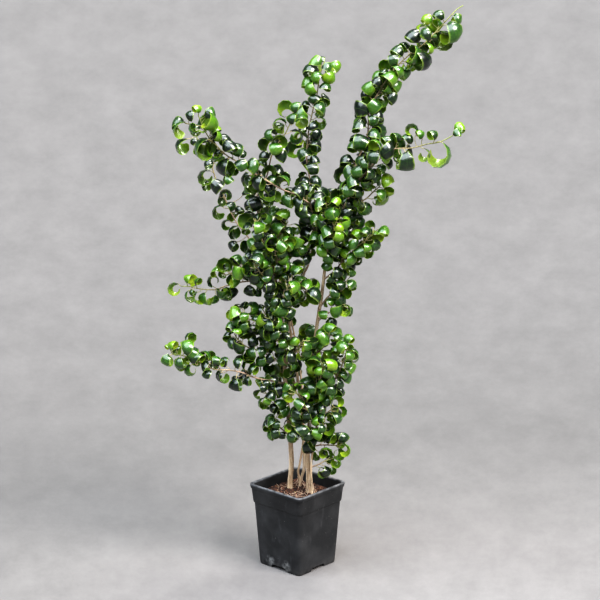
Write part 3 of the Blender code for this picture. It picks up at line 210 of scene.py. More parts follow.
# A set leaf is (across, up, ring radius, facing): facing 0 shows the leaf as an open ring and
# 90 shows its glossy back, in degrees. The other leaves of a spray follow the rule.
SPRAYS = [
    Spray("spray_low_right", "stem_right", 16.3,
          [(3.0, 16.8, 1.0), (5.0, 16.75, 1.6), (5.8, 16.6, 1.8)],
          [(6.3, 16.1, 0.87, 20), (4.4, 17.6, 0.7, 60), (3.6, 15.65, 0.6, 70)], 2),
    Spray("spray_low_right_small", "stem_thin", 13.6,
          [(2.9, 14.1, 2.0), (3.6, 14.5, 2.3), (4.4, 14.8, 2.5)],
          [(5.2, 14.4, 0.72, 40), (4.7, 15.6, 0.6, 60)], 2),
    Spray("spray_low_left", "stem_left", 18.0,
          [(-1.9, 18.9, -0.2), (-2.6, 19.6, 0.3), (-3.0, 20.4, 0.6)],
          [(-3.4, 19.9, 0.7, 60), (-2.5, 21.2, 0.7, 40), (-2.0, 18.2, 0.6, 80)], 2),
    Spray("spray_low_left_upper", "stem_left", 21.6,
          [(-2.6, 22.5, 0.4), (-3.5, 23.5, 0.8), (-4.3, 24.2, 1.2)],
          [(-4.7, 25.5, 0.85, 80), (-5.4, 24.0, 0.65, 40), (-4.6, 22.8, 0.75, 30),
           (-3.1, 22.0, 0.7, 60)], 2),
    Spray("arm_left_low", "stem_left", 25.4,
          [(-3.5, 25.8, 1.0), (-5.5, 26.2, 2.2), (-7.4, 26.95, 3.4), (-9.2, 27.3, 4.4),
           (-11.0, 27.4, 5.0), (-12.5, 28.1, 5.4), (-14.0, 28.8, 5.6), (-15.2, 29.3, 5.6),
           (-16.6, 29.5, 5.4)],
          [(-5.9, 27.2, 0.8, 60), (-6.6, 25.8, 0.7, 50), (-8.0, 28.2, 0.8, 70),
           (-8.2, 25.3, 0.9, 80), (-9.9, 26.3, 0.75, 40), (-10.2, 28.2, 0.6, 60),
           (-12.1, 27.7, 0.7, 60), (-11.6, 29.3, 0.65, 30), (-13.2, 28.9, 0.9, 60),
           (-14.1, 27.2, 0.75, 20), (-15.5, 28.3, 0.85, 70), (-14.8, 30.4, 1.1, 85),
           (-16.5, 30.6, 0.7, 50), (-17.5, 28.5, 1.05, 60), (-14.3, 32.0, 0.7, 30)], 2),
    Spray("spray_left_rings", "stem_left", 28.0,
          [(-3.2, 29.0, 1.2), (-5.0, 29.9, 1.8), (-6.5, 30.4, 2.2), (-7.7, 31.3, 2.4),
           (-8.3, 32.2, 2.4)],
          [(-6.6, 29.2, 0.88, 25), (-8.45, 30.8, 0.75, 10), (-8.8, 33.1, 0.8, 50),
           (-3.7, 30.6, 0.75, 60), (-5.0, 31.2, 0.7, 40), (-7.2, 32.2, 0.7, 60)], 2),
    Spray("spray_left_mid", "stem_left", 32.6,
          [(-3.6, 33.6, 1.0), (-5.4, 34.0, 1.6), (-6.9, 34.5, 2.0), (-7.5, 35.2, 2.2)],
          [(-8.2, 35.0, 0.9, 70), (-6.9, 36.1, 0.65, 80), (-7.8, 33.4, 0.75, 50),
           (-5.0, 35.5, 0.85, 60), (-5.9, 32.9, 0.75, 40), (-3.5, 34.9, 0.8, 70)], 2),
    Spray("arm_left_middle", "stem_left", 38.4,
          [(-4.6, 39.2, 1.0), (-6.8, 39.4, 1.2), (-9.4, 38.8, 1.0), (-10.8, 38.3, 0.6),
           (-12.8, 38.4, 0.0), (-14.0, 38.7, -0.4), (-15.2, 38.75, -0.6)],
          [(-12.0, 37.1, 0.85, 50), (-10.9, 37.0, 0.75, 60), (-14.3, 39.7, 0.65, 60),
           (-13.1, 39.3, 0.55, 40), (-13.8, 37.9, 0.45, 50), (-16.1, 38.3, 0.85, 0),
           (-8.6, 38.0, 0.8, 60), (-6.2, 38.2, 0.8, 70), (-7.3, 40.6, 0.8, 50)], 2),
    Spray("spray_left_ring", "stem_left", 40.6,
          [(-5.0, 41.6, 2.0), (-7.0, 41.4, 2.8), (-8.4, 40.7, 3.2), (-9.4, 40.2, 3.4)],
          [(-9.5, 41.5, 1.0, 5), (-10.5, 40.6, 0.85, 60), (-8.0, 42.2, 0.8, 60),
           (-8.3, 39.4, 0.75, 60), (-6.4, 42.7, 0.8, 40)], 2),
    Spray("arm_left_top", "stem_left", 36.6,
          [(-3.7, 40.2, -0.8), (-5.2, 43.4, -1.6), (-6.2, 45.0, -2.2), (-6.9, 46.0, -2.6),
           (-7.8, 47.1, -3.0), (-8.5, 48.4, -3.4), (-9.2, 50.0, -3.8), (-9.6, 51.0, -4.0),
           (-10.1, 52.0, -4.2), (-10.6, 53.2, -4.4), (-10.9, 54.2, -4.5), (-11.4, 56.0, -4.6),
           (-12.4, 57.6, -4.7), (-13.2, 58.9, -4.8), (-13.9, 60.2, -4.8)],
          [(-10.2, 48.7, 0.88, 30), (-9.3, 50.9, 0.78, 10), (-8.4, 51.3, 0.7, 60),
           (-11.8, 53.3, 1.05, 15), (-11.4, 55.0, 0.7, 60), (-14.8, 57.5, 1.05, 40),
           (-13.2, 57.8, 0.6, 60), (-15.0, 59.6, 1.05, 35), (-13.7, 61.4, 0.85, 70),
           (-14.8, 61.2, 0.75, 60), (-8.2, 46.2, 0.9, 40), (-8.3, 44.2, 0.75, 60),
           (-7.6, 48.9, 0.6, 70), (-6.4, 51.0, 0.85, 60)], 2),
    Spray("arm_left_upper", "stem_middle", 45.2,
          [(1.8, 49.3, 1.0), (1.2, 50.1, 1.6), (-0.4, 51.05, 2.2), (-2.0, 51.7, 2.8),
           (-3.4, 52.5, 3.4), (-5.3, 53.6, 4.0), (-7.4, 55.1, 4.6), (-9.2, 56.2, 5.0),
           (-10.4, 57.4, 5.4), (-11.3, 58.3, 5.6), (-12.1, 59.8, 5.8), (-12.7, 61.3, 6.0)],
          [(-9.2, 54.6, 1.2, 60), (-8.3, 54.2, 0.8, 80), (-8.7, 57.1, 0.95, 60),
           (-11.9, 56.9, 1.35, 20), (-10.4, 58.6, 0.6, 60), (-11.2, 61.4, 0.8, 70),
           (-12.9, 62.1, 0.6, 60), (-5.0, 52.6, 1.0, 60), (-1.1, 50.2, 0.85, 70),
           (-2.9, 50.9, 0.85, 60), (0.3, 49.9, 0.85, 70), (-6.3, 52.9, 0.7, 50)], 2),
    Spray("shoot_left_top", "stem_left", 45.6,
          [(-5.1, 48.5, 0.6), (-5.3, 50.3, 1.0), (-4.7, 52.0, 1.4), (-3.9, 53.6, 1.8),
           (-3.4, 55.8, 2.4), (-2.8, 57.3, 2.8), (-1.6, 58.9, 3.2), (-1.0, 60.1, 3.4),
           (-0.4, 61.4, 3.6)],
          [(-2.3, 57.9, 0.9, 15), (-4.2, 56.0, 0.75, 70), (-2.2, 56.0, 0.85, 80),
           (-2.6, 54.0, 0.9, 60), (-1.1, 53.4, 0.9, 60), (-0.7, 60.8, 0.75, 70),
           (0.1, 60.4, 0.6, 60), (-0.3, 62.3, 0.75, 75), (0.7, 61.9, 0.6, 60),
           (-5.4, 54.6, 0.8, 60), (-6.2, 49.6, 0.75, 60), (-3.8, 50.5, 0.9, 60)], 4),
    Spray("shoot_middle_top", "stem_middle", 45.8,
          [(2.6, 48.6, -0.8), (2.1, 51.0, -1.2), (1.4, 54.1, -1.8), (1.15, 56.4, -2.4),
           (1.35, 58.0, -2.8), (1.5, 59.6, -3.2), (2.0, 62.0, -3.8), (2.5, 63.9, -4.2),
           (2.8, 66.0, -4.6), (3.1, 67.2, -4.8), (3.5, 68.3, -5.0)],
          [(2.1, 55.5, 0.75, 80), (0.5, 55.2, 0.7, 60), (2.3, 57.4, 0.85, 50),
           (1.9, 60.0, 0.8, 80), (0.8, 59.6, 0.7, 60), (2.9, 60.4, 0.85, 30),
           (2.8, 62.3, 0.95, 60), (1.1, 62.6, 0.6, 50), (3.5, 64.9, 0.88, 50),
           (1.4, 65.5, 0.85, 80), (2.4, 68.1, 0.85, 75), (3.7, 67.4, 0.75, 60),
           (4.8, 67.5, 0.8, 60), (2.4, 52.4, 0.85, 60), (1.0, 52.6, 0.75, 60)], 4),
    Spray("shoot_right_top", "stem_right", 47.4,
          [(6.6, 50.4, 1.2), (7.2, 52.6, 1.3), (7.6, 55.0, 1.0), (8.4, 57.0, 0.4),
           (9.0, 58.6, 0.0), (9.15, 60.2, -0.4), (9.2, 62.2, -0.8), (9.8, 63.3, -1.0),
           (10.6, 64.6, -1.4), (11.5, 66.0, -1.8), (12.8, 67.7, -2.2), (14.5, 69.3, -2.6),
           (16.0, 70.4, -3.0), (17.3, 71.7, -3.4), (18.5, 73.0, -3.8), (19.6, 74.2, -4.0),
           (20.3, 74.9, -4.2), (21.0, 75.3, -4.3)],
          [(8.3, 62.0, 1.1, 80), (10.2, 61.4, 0.85, 60), (8.7, 63.8, 0.7, 60),
           (10.1, 65.4, 0.75, 60), (10.9, 63.3, 0.8, 20), (12.0, 63.5, 0.8, 70),
           (12.5, 65.2, 0.9, 75), (11.1, 66.7, 0.6, 60), (13.5, 66.7, 0.9, 60),
           (12.8, 69.4, 0.9, 70), (13.9, 68.2, 0.85, 60), (15.8, 68.4, 1.45, 40),
           (14.8, 71.3, 1.05, 75), (16.3, 71.5, 1.0, 70), (16.5, 73.5, 0.8, 70),
           (18.0, 74.0, 0.8, 75), (19.3, 71.7, 1.4, 50), (20.2, 73.6, 0.75, 70),
           (17.4, 73.0, 0.7, 50), (8.0, 59.8, 0.9, 60), (9.8, 58.8, 0.9, 60),
           (7.4, 57.2, 0.9, 60), (6.4, 55.4, 0.9, 60), (8.6, 55.4, 0.8, 70)], 4),
    Spray("arm_right", "stem_right", 47.9,
          [(6.8, 50.8, 2.4), (7.9, 52.7, 2.9), (9.3, 54.4, 3.4), (11.1, 56.6, 4.0),
           (12.7, 57.0, 4.6), (14.75, 57.1, 5.0), (16.7, 57.6, 5.4), (18.4, 57.9, 5.8),
           (20.0, 58.7, 6.0)],
          [(20.9, 59.6, 0.75, 60), (18.2, 56.2, 1.65, 12), (13.85, 55.4, 1.35, 75),
           (11.6, 57.9, 0.8, 70), (14.0, 58.2, 0.75, 60), (14.7, 59.4, 0.8, 10),
           (15.8, 58.8, 0.7, 70), (17.4, 58.7, 0.7, 60), (16.2, 56.6, 0.8, 60),
           (11.6, 55.2, 0.9, 60), (9.9, 53.2, 0.8, 60), (12.7, 58.4, 0.75, 60)], 4),
    Spray("spray_right_stub", "stem_right", 48.3,
          [(7.4, 49.7, 1.9), (8.85, 50.4, 2.2), (9.9, 51.4, 2.2), (10.7, 52.1, 2.2)],
          [(11.5, 52.8, 1.0, 70), (10.8, 51.0, 0.85, 60), (8.5, 49.1, 0.85, 20),
           (9.0, 51.9, 0.8, 60)], 2),
    Spray("spray_right_end", "stem_right", 39.6,
          [(4.9, 40.8, 0.8), (5.6, 41.7, 1.0), (6.6, 42.8, 1.6), (7.5, 43.7, 2.2),
           (8.2, 44.4, 2.8), (9.0, 44.9, 3.2), (10.1, 46.1, 3.6)],
          [(11.2, 46.1, 0.85, 50), (9.3, 43.4, 0.78, 20), (8.1, 43.2, 0.6, 60),
           (7.8, 45.6, 0.85, 70), (8.9, 46.0, 0.7, 60), (6.4, 41.9, 0.8, 60),
           (6.6, 44.1, 0.75, 60), (5.9, 40.4, 0.75, 60), (5.2, 42.6, 0.7, 60)], 2),
    Spray("spray_right_mid", "stem_right", 36.0,
          [(4.0, 37.3, 0.6), (4.9, 38.0, 0.9), (6.0, 38.9, 1.1), (6.6, 39.6, 1.2)],
          [(4.6, 39.0, 0.7, 60), (5.6, 38.8, 0.75, 70), (6.9, 40.6, 0.75, 60),
           (6.9, 38.9, 0.7, 50), (4.3, 36.7, 0.6, 60)], 2),
    Spray("spray_right_low_ring", "stem_right", 34.2,
          [(4.2, 35.2, 0.8), (5.4, 35.9, 1.2), (6.0, 36.4, 1.3)],
          [(6.3, 35.5, 0.78, 10), (4.9, 36.8, 0.65, 60), (4.4, 33.8, 0.8, 60)], 2),
    Spray("shoot_thin", "stem_thin", 22.6,
          [(4.4, 24.8, 2.0), (5.2, 26.4, 2.6), (6.0, 28.2, 3.2), (6.5, 29.8, 3.6),
           (6.7, 30.8, 4.0)],
          [(6.9, 31.5, 0.7, 60), (7.4, 29.6, 0.7, 40), (6.9, 27.4, 0.8, 60),
           (7.9, 27.4, 0.65, 30), (5.0, 27.6, 0.85, 75), (5.3, 30.0, 0.75, 60),
           (3.6, 26.4, 0.8, 60), (5.6, 24.4, 0.7, 60)], 2),
    Spray("spray_thin_side", "stem_thin", 20.0,
          [(3.6, 21.0, 2.2), (4.4, 21.7, 2.6), (5.0, 22.2, 2.8)],
          [(5.3, 22.9, 0.78, 20), (4.9, 20.5, 0.75, 70), (3.5, 22.6, 0.75, 60)], 2),
    Spray("spray_foot_front", "stem_right", 17.4,
          [(1.2, 17.8, 1.6), (0.5, 18.6, 2.8), (0.1, 19.6, 3.6)], [], 6),
    Spray("spray_foot_right", "stem_right", 18.8,
          [(2.2, 19.0, 2.0), (3.0, 19.4, 3.0), (3.7, 20.2, 3.6)], [], 5),
    Spray("spray_front_low", "stem_right", 20.6,
          [(1.6, 21.2, 1.8), (1.0, 22.2, 3.0), (0.4, 23.4, 3.8), (-0.4, 24.4, 4.4)], [], 7),
    Spray("spray_front_low_right", "stem_right", 24.0,
          [(2.2, 24.6, 1.6), (2.8, 25.6, 2.8), (3.3, 27.0, 3.6), (3.5, 28.4, 4.2)], [], 7),
    Spray("spray_front_mid", "stem_left", 27.4,
          [(-1.4, 28.2, 1.4), (-0.6, 29.2, 2.4), (0.2, 30.4, 3.2), (0.8, 31.6, 3.8)], [], 7),
    Spray("spray_front_left", "stem_left", 30.2,
          [(-2.3, 31.0, 1.5), (-3.0, 32.0, 2.8), (-3.4, 33.4, 3.6), (-3.6, 34.6, 4.2)], [], 7),
    Spray("spray_right_side", "stem_right", 29.4,
          [(3.0, 30.0, 0.8), (3.8, 31.0, 1.6), (4.2, 32.4, 2.2)],
          [(4.4, 33.0, 0.75, 60), (4.0, 29.4, 0.8, 60), (3.1, 32.3, 0.7, 60)], 2),
    Spray("spray_front_crown", "stem_left", 34.6,
          [(-2.2, 35.4, 1.6), (-2.0, 36.6, 2.8), (-1.5, 38.0, 3.8), (-1.0, 39.4, 4.4)],
          [(-0.2, 40.8, 0.8, 60)], 2),
    Spray("spray_crown_left_front", "stem_left", 37.6,
          [(-3.0, 38.4, 1.8), (-4.0, 39.6, 3.2), (-5.0, 40.8, 4.2), (-5.8, 42.2, 4.8)], [], 7),
    Spray("spray_crown_front", "stem_left", 39.6,
          [(-2.9, 40.8, 1.8), (-2.7, 42.2, 3.0), (-2.4, 43.6, 4.0), (-1.9, 45.0, 4.6)], [], 7),
    Spray("spray_crown_high", "stem_left", 42.4,
          [(-3.9, 43.6, 1.8), (-4.6, 45.0, 3.0), (-5.2, 46.4, 3.8), (-5.5, 47.8, 4.2)], [], 7),
    Spray("spray_crown_inner", "stem_left", 43.4,
          [(-2.8, 44.8, 0.9), (-2.0, 46.2, 1.2), (-1.2, 47.4, 1.4)],
          [(-0.3, 45.1, 0.85, 30), (-1.9, 48.2, 0.85, 70), (-3.1, 48.4, 0.85, 60),
           (-1.2, 46.0, 0.7, 60)], 2),
    Spray("spray_middle_leaf", "stem_middle", 38.4,
          [(0.6, 38.8, 0.6), (1.0, 38.4, 1.2), (1.4, 37.9, 1.6)],
          [(2.1, 37.6, 1.1, 70), (1.7, 36.1, 0.95, 30)], 2),
    Spray("spray_middle_upper", "stem_middle", 41.8,
          [(0.6, 43.0, 0.4), (0.2, 44.2, 1.0), (-0.1, 45.4, 1.6)], [], 7),
    Spray("spray_right_front", "stem_right", 42.8,
          [(4.0, 44.0, 1.8), (4.3, 45.4, 3.0), (4.8, 46.8, 3.8), (5.4, 48.2, 4.2)],
          [(2.3, 45.2, 0.8, 60), (5.9, 46.1, 0.8, 50)], 2),
    Spray("spray_right_front_high", "stem_right", 45.4,
          [(4.4, 47.0, 2.0), (4.0, 48.4, 2.8), (3.7, 49.8, 3.4)],
          [(2.4, 47.6, 0.8, 60), (3.0, 49.6, 0.8, 60)], 2),
    Spray("spray_right_crown", "stem_right", 46.2,
          [(5.6, 46.9, 0.8), (6.8, 47.3, 0.8), (7.6, 47.6, 0.8)],
          [(7.9, 47.2, 0.8, 15), (6.7, 48.6, 0.8, 60), (6.6, 46.0, 0.75, 60)], 2),
    Spray("spray_back_right", "stem_right", 43.6,
          [(4.6, 45.0, -1.0), (5.6, 46.8, -2.2), (6.4, 48.6, -3.0), (6.8, 50.4, -3.4)], [], 5),
    Spray("spray_back_upper", "stem_middle", 44.4,
          [(2.8, 46.0, -2.0), (3.6, 47.8, -3.0), (4.4, 49.6, -3.6), (4.8, 51.4, -3.8)], [], 5),
    Spray("spray_back_low", "stem_back", 21.0,
          [(1.6, 22.0, -5.4), (2.6, 23.4, -6.0), (3.2, 25.0, -6.2)], [], 5),
    Spray("spray_back_low_left", "stem_back", 25.0,
          [(-0.8, 25.8, -5.4), (-2.0, 26.8, -6.0), (-2.8, 28.2, -6.4)], [], 5),
    Spray("spray_back_mid", "stem_back", 29.0,
          [(1.2, 30.0, -5.4), (2.2, 31.4, -6.2), (2.6, 33.0, -6.6)], [], 5),
    Spray("spray_back_mid_left", "stem_back", 32.0,
          [(-2.2, 33.0, -5.4), (-3.8, 34.4, -6.0), (-4.8, 36.0, -6.2)], [], 5),
    Spray("spray_back_crown", "stem_back", 36.0,
          [(-0.8, 37.6, -5.6), (-0.6, 39.6, -6.8), (-0.9, 41.4, -7.4)], [], 5),
    Spray("spray_back_crown_left", "stem_back", 38.6,
          [(-3.6, 39.8, -5.6), (-5.2, 41.2, -6.4), (-6.2, 43.0, -6.6)], [], 5),
    Spray("shoot_back_top", "stem_back", 40.2,
          [(-2.5, 42.4, -5.2), (-3.0, 44.6, -5.8), (-3.4, 46.8, -5.6), (-3.1, 49.0, -5.0)], [], 6),
]


def placed(across, up, near):
    """The real point that shows at (across, up) on the upright plane and lies near it by near."""
    on_plane = Vector((across * CM, 0, up * CM))
    reach = (-near * CM - VIEWPOINT.y) / -VIEWPOINT.y
    return VIEWPOINT + (on_plane - VIEWPOINT) * reach


def smooth_path(points, step):
    """Points about one step apart on a smooth curve through the given ones."""
    ends = [points[0] * 2 - points[1]] + points + [points[-1] * 2 - points[-2]]
    path = []
    for a, b, c, d in zip(ends, ends[1:], ends[2:], ends[3:]):
        count = max(1, round((c - b).length / step))
        for k in range(count):
            t = k / count
            bend = (2 * a - 5 * b + 4 * c - d) * t * t + (3 * b - a - 3 * c + d) * t ** 3
            path.append((2 * b + (c - a) * t + bend) / 2)
    path.append(points[-1].copy())
    return path


def tapered(count, first, last):
    """Radii that shrink evenly from first to last."""
    return [first + (last - first) * k / (count - 1) for k in range(count)]


# Stems and twigs

Wood = namedtuple("Wood", "stem path radii tree")
Twig = namedtuple("Twig", "spray points path tree sites")


def prism(path, radii, sides=5):
    """A search tree of a plain prism round a path, for tests of clearance."""
    points = []
    faces = []
    across = (path[1] - path[0]).orthogonal().normalized()
    for k, place in enumerate(path):
        ahead = (path[min(k + 1, len(path) - 1)] - path[max(k - 1, 0)]).normalized()
        across = (across - ahead * across.dot(ahead)).normalized()
        side = ahead.cross(across)
        for s in range(sides):
            angle = s * math.tau / sides
            points.append(place + (across * math.cos(angle) + side * math.sin(angle)) * radii[k])
    for k in range(len(path) - 1):
        for s in range(sides):
            step = (s + 1) % sides
            faces.append((k * sides + s, k * sides + step,
                          (k + 1) * sides + step, (k + 1) * sides + s))
    return BVHTree.FromPolygons(points, faces)


def grown_stem(stem):
    """The stem's path, its radii and its search tree."""
    thick, thin = stem.thickness
    path = smooth_path([placed(*p) for p in stem.route], STEM_STEP)
    radii = tapered(len(path), thick / 2000, thin / 2000)
    return Wood(stem, path, radii, prism(path, [r + LEAF_CLEARANCE for r in radii], 8))


def finely(path):
    """Close points along a path, as its tube runs."""
    return [a.lerp(b, k / 6) for a, b in zip(path, path[1:]) for k in range(6)] + [path[-1]]


def clear_of(wood, path):
    """Close points along a twig, from where it has left its stem's bark."""
    axis = finely(wood.path)
    reach = wood.radii[0] + LEAFLESS_RISE
    return [p for p in finely(path) if min((p - q).length for q in axis) > reach]


def stem_start(spray, stems):
    """Where the spray's twig leaves its stem, on the stem's axis."""
    wood = stems[spray.stem]
    levels = [p[1] for p in wood.stem.route]
    at = next(k for k in range(1, len(levels)) if levels[k] >= spray.leaves_at)
    share = (spray.leaves_at - levels[at - 1]) / (levels[at] - levels[at - 1])
    low, high = Vector(wood.stem.route[at - 1]), Vector(wood.stem.route[at])
    wanted = placed(*low.lerp(high, share))
    return min(finely(wood.path), key=lambda p: (p - wanted).length)


def twig_points(spray, start, shift):
    """The twig's own points, with all but its start moved nearer by shift centimetres."""
    points = [start]
    for k, (across, up, near) in enumerate(spray.route):
        ease = min(1, (k + 1) / 2)
        points.append(placed(across, up, near + shift * ease))
    return points


def trimmed(path, length):
    """The path without its first stretch of the given length."""
    run = 0
    for k in range(1, len(path)):
        run += (path[k] - path[k - 1]).length
        if run >= length:
            return path[k:]
    return path[-2:]


def grown_twig(spray, stems, twigs):
    """The twig of a spray, bent clear of the other stems and twigs."""
    start = stem_start(spray, stems)
    others = [s.tree for s in stems.values()] + [t.tree for t in twigs]
    for shift in TWIG_SHIFTS:
        points = twig_points(spray, start, shift)
        path = smooth_path(points, TWIG_STEP)
        free = trimmed(path, TWIG_ROOM)
        tree = prism(free, [TWIG_BASE + LEAF_CLEARANCE] * len(free))
        if not any(tree.overlap(other) for other in others):
            wide = [radius + LEAF_CLEARANCE for radius in tapered(len(path), TWIG_BASE, TWIG_TIP)]
            return Twig(spray, points, path, prism(path, wide),
                        clear_of(stems[spray.stem], path))
    raise ValueError("no clear way for " + spray.name)


# Where the leaves stand

Leaf = namedtuple("Leaf", "root centre radius toward rise width curl loose", defaults=(False,))


def midrib(leaf, share):
    """Place and outward direction at a share of the blade's length."""
    angle = LEAF_START + leaf.curl * share
    out = leaf.toward * math.cos(angle) + leaf.rise * math.sin(angle)
    reach = leaf.radius * (1 - LEAF_KEEL_PER_RADIUS - LEAF_TIGHTENING * share)
    return leaf.centre + out * reach, out


def section(place, out, axis, half_width, keel, grown):
    """Three corners across a blade: its two edges and the ridge along its back."""
    inside = place - out * grown
    return [inside + axis * (half_width + grown), place + out * (keel + grown),
            inside - axis * (half_width + grown)]


def leaf_body(leaf, grown=0):
    """Corner points and faces of the space that one curled blade takes."""
    axis = leaf.toward.cross(leaf.rise)
    first_out = midrib(leaf, 0)[1]
    points = section(leaf.root - first_out * LEAF_ROOT, first_out, axis,
                     LEAF_ROOT, 2 * LEAF_ROOT, 0)
    for share, width in zip(BLADE_SHARES, BLADE_WIDTHS):
        place, out = midrib(leaf, share)
        keel = leaf.radius * LEAF_KEEL_PER_RADIUS * width
        points += section(place, out, axis, leaf.width * width / 2, keel, grown)
    points.append(midrib(leaf, 1)[0])
    tip = len(points) - 1
    faces = [(2, 1, 0)]
    for a, b in ((0, 1), (1, 2), (2, 0)):
        faces.append((a, b, 3 + b, 3 + a))
    for low in range(3, tip - 3, 3):
        for a, b in ((0, 1), (1, 2), (2, 0)):
            faces.append((low + a, low + b, low + 3 + b))
            faces.append((low + a, low + 3 + b, low + 3 + a))
    for a, b in ((0, 1), (1, 2), (2, 0)):
        faces.append((tip - 3 + a, tip - 3 + b, tip))
    return points, faces


def blade_tree(leaf, grown):
    """A search tree of the blade without the stalk that joins it to its twig."""
    points, faces = leaf_body(leaf, grown)
    return BVHTree.FromPolygons(points, [f for f in faces if min(f) >= 3])


class Crown:
    """The leaves placed so far, with what a new leaf has to stay clear of."""

    def __init__(self, stems, twigs):
        self.stems = [s.tree for s in stems.values()]
        self.twigs = twigs
        self.leaves = {t.spray.name: [] for t in twigs}
        self.trees = []

    def has_room(self, leaf, twig):
        """Whether the leaf is clear of every stem, twig and leaf."""
        whole = BVHTree.FromPolygons(*leaf_body(leaf, LEAF_CLEARANCE))
        if any(whole.overlap(tree) for tree in self.stems):
            return False
        for other in self.twigs:
            tried = blade_tree(leaf, LEAF_CLEARANCE) if other is twig else whole
            if tried.overlap(other.tree):
                return False
        reach = leaf.radius + (leaf.root - leaf.centre).length
        for centre, radius, tree in self.trees:
            if (centre - leaf.centre).length < reach + radius and whole.overlap(tree):
                return False
        return True

    def add(self, leaf, twig):
        """Keeps the leaf."""
        reach = leaf.radius + (leaf.root - leaf.centre).length
        self.leaves[twig.spray.name].append(leaf)
        self.trees.append((leaf.centre, reach, BVHTree.FromPolygons(*leaf_body(leaf))))


def nearest_on_twig(sites, sight):
    """The twig's point that shows nearest to a sight line."""
    def miss(point):
        ahead = point - VIEWPOINT
        return (ahead - sight * ahead.dot(sight)).length
    return min(sites, key=miss)


def set_leaf(twig, across, up, radius, facing, attempt, chance):
    """A leaf whose ring shows at a chosen place."""
    sight = (placed(across, up, 0) - VIEWPOINT).normalized()
    root = nearest_on_twig(twig.sites, sight)
    centre = VIEWPOINT + sight * (root - VIEWPOINT).dot(sight)
    radius = radius * CM * 0.96 ** attempt
    wanted = radius + chance.uniform(*PETIOLE)
    beside = root - centre
    if beside.length < wanted:
        side = -1 if attempt % 3 == 2 else 1
        centre -= sight * side * math.sqrt(wanted ** 2 - beside.length_squared)
    toward = (beside - UP * LEAF_HANG).normalized()
    toward = (toward - sight * toward.dot(sight)).normalized()
    rise = toward.cross(sight)
    if rise.z < 0:
        rise = -rise
    angle = math.radians(facing + chance.uniform(-20, 20) * attempt)
    rise = rise * math.cos(angle) - sight * math.sin(angle)
    return Leaf(root, centre, radius, toward, rise,
                radius * LEAF_WIDTH_PER_RADIUS, chance.uniform(*LEAF_CURL))


def rule_leaf(twig, share, turn, chance):
    """A leaf at a share of the twig's length, turned round it."""
    at = min(len(twig.sites) - 2, int(share * (len(twig.sites) - 1)))
    root = twig.sites[at]
    ahead = (twig.sites[at + 1] - root).normalized()
    side = ahead.cross(UP).normalized()
    over = side.cross(ahead)
    out = side * math.cos(turn) + over * math.sin(turn) + ahead * chance.uniform(-0.1, 0.5)
    out.normalize()
    lift = UP * 0.8 + ahead * 0.5 + side * chance.uniform(-0.5, 0.5)
    rise = (lift - out * lift.dot(out)).normalized()
    radius = chance.uniform(*LEAF_RADIUS)
    centre = root + out * (radius + chance.uniform(*PETIOLE))
    return Leaf(root, centre, radius, -out, rise,
                radius * LEAF_WIDTH_PER_RADIUS, chance.uniform(*LEAF_CURL), True)


def grown_leaves(stems, twigs):
    """Every leaf of the plant: the set ones first, and then those that follow the rule."""
    crown = Crown(stems, twigs)
    chance = random.Random(SEED)
    for twig in twigs:
        for across, up, radius, facing in twig.spray.set_leaves:
            for attempt in range(TRIES):
                leaf = set_leaf(twig, across, up, radius, facing, attempt, chance)
                if crown.has_room(leaf, twig):
                    crown.add(leaf, twig)
                    break
    for twig in twigs:
        turn = chance.uniform(0, math.tau)
        count = twig.spray.rule_leaves
        for k in range(count):
            turn += GOLDEN_ANGLE
            for attempt in range(TRIES):
                share = LAST_RULE_SHARE * (k + chance.uniform(0, 1)) / count
                swing = chance.uniform(-0.5, 0.5) * attempt
                leaf = rule_leaf(twig, share, turn + swing, chance)
                if crown.has_room(leaf, twig):
                    crown.add(leaf, twig)
                    break
    for twig in twigs:
        for across, up, radius, facing in OUTER_LEAVES.get(twig.spray.name, []):
            crown.add(set_leaf(twig, across, up, radius, facing, 0, chance), twig)
    add_further_leaves(crown, twigs)
    return crown.leaves


def add_further_leaves(crown, twigs):
    """Fills the bare stretches of the twigs wherever a leaf still has room."""
    chance = random.Random(SEED + 1)
    for twig in twigs:
        turn = math.pi / 2
        fullness = FULLNESS.get(twig.spray.name, 1)
        last = BARE_FROM.get(twig.spray.name, LAST_FURTHER_SHARE)
        count = round(FURTHER_PER_METRE * length_of(twig.sites) * fullness)
        for k in range(count):
            turn += math.pi
            for attempt in range(TRIES):
                share = last * (k + chance.uniform(0, 1)) / count
                swing = chance.gauss(0, 0.55) + chance.uniform(-0.6, 0.6) * attempt
                growth = chance.uniform(*FURTHER_SIZE) * LARGER.get(twig.spray.name, 1)
                leaf = resized(rule_leaf(twig, share, turn + swing, chance), growth)
                if crown.has_room(resized(leaf, CROWDING), twig):
                    if within_reach(leaf):
                        crown.add(leaf, twig)
                    break


def within_reach(leaf):
    """Whether the leaf stays close to the solids' box."""
    low, high = CAD_BOX
    reach = leaf.radius * BLADE_GROWTH - PAST_SOLIDS
    return all(low[k] + reach < leaf.centre[k] < high[k] - reach for k in range(3))


def rolled(leaf, angle):
    """The leaf turned about the line from its middle to its root."""
    return leaf._replace(rise=Matrix.Rotation(angle, 3, leaf.toward) @ leaf.rise)


def resized(leaf, share):
    """The leaf with its blade made smaller or larger round the same middle."""
    return leaf._replace(radius=leaf.radius * share, width=leaf.width * share)


def length_of(path):
    """Length of a path."""
    return sum((b - a).length for a, b in zip(path, path[1:]))




# Node trees

def nodes_of(tree):
    """A short way to add a node and to join two sockets in a tree."""
    def add(kind, **settings):
        node = tree.nodes.new(kind)
        for key, value in settings.items():
            if hasattr(node, key):
                setattr(node, key, value)
            else:
                node.inputs[key].default_value = value
        return node

    def join(source, target):
        tree.links.new(source, target)

    return add, join


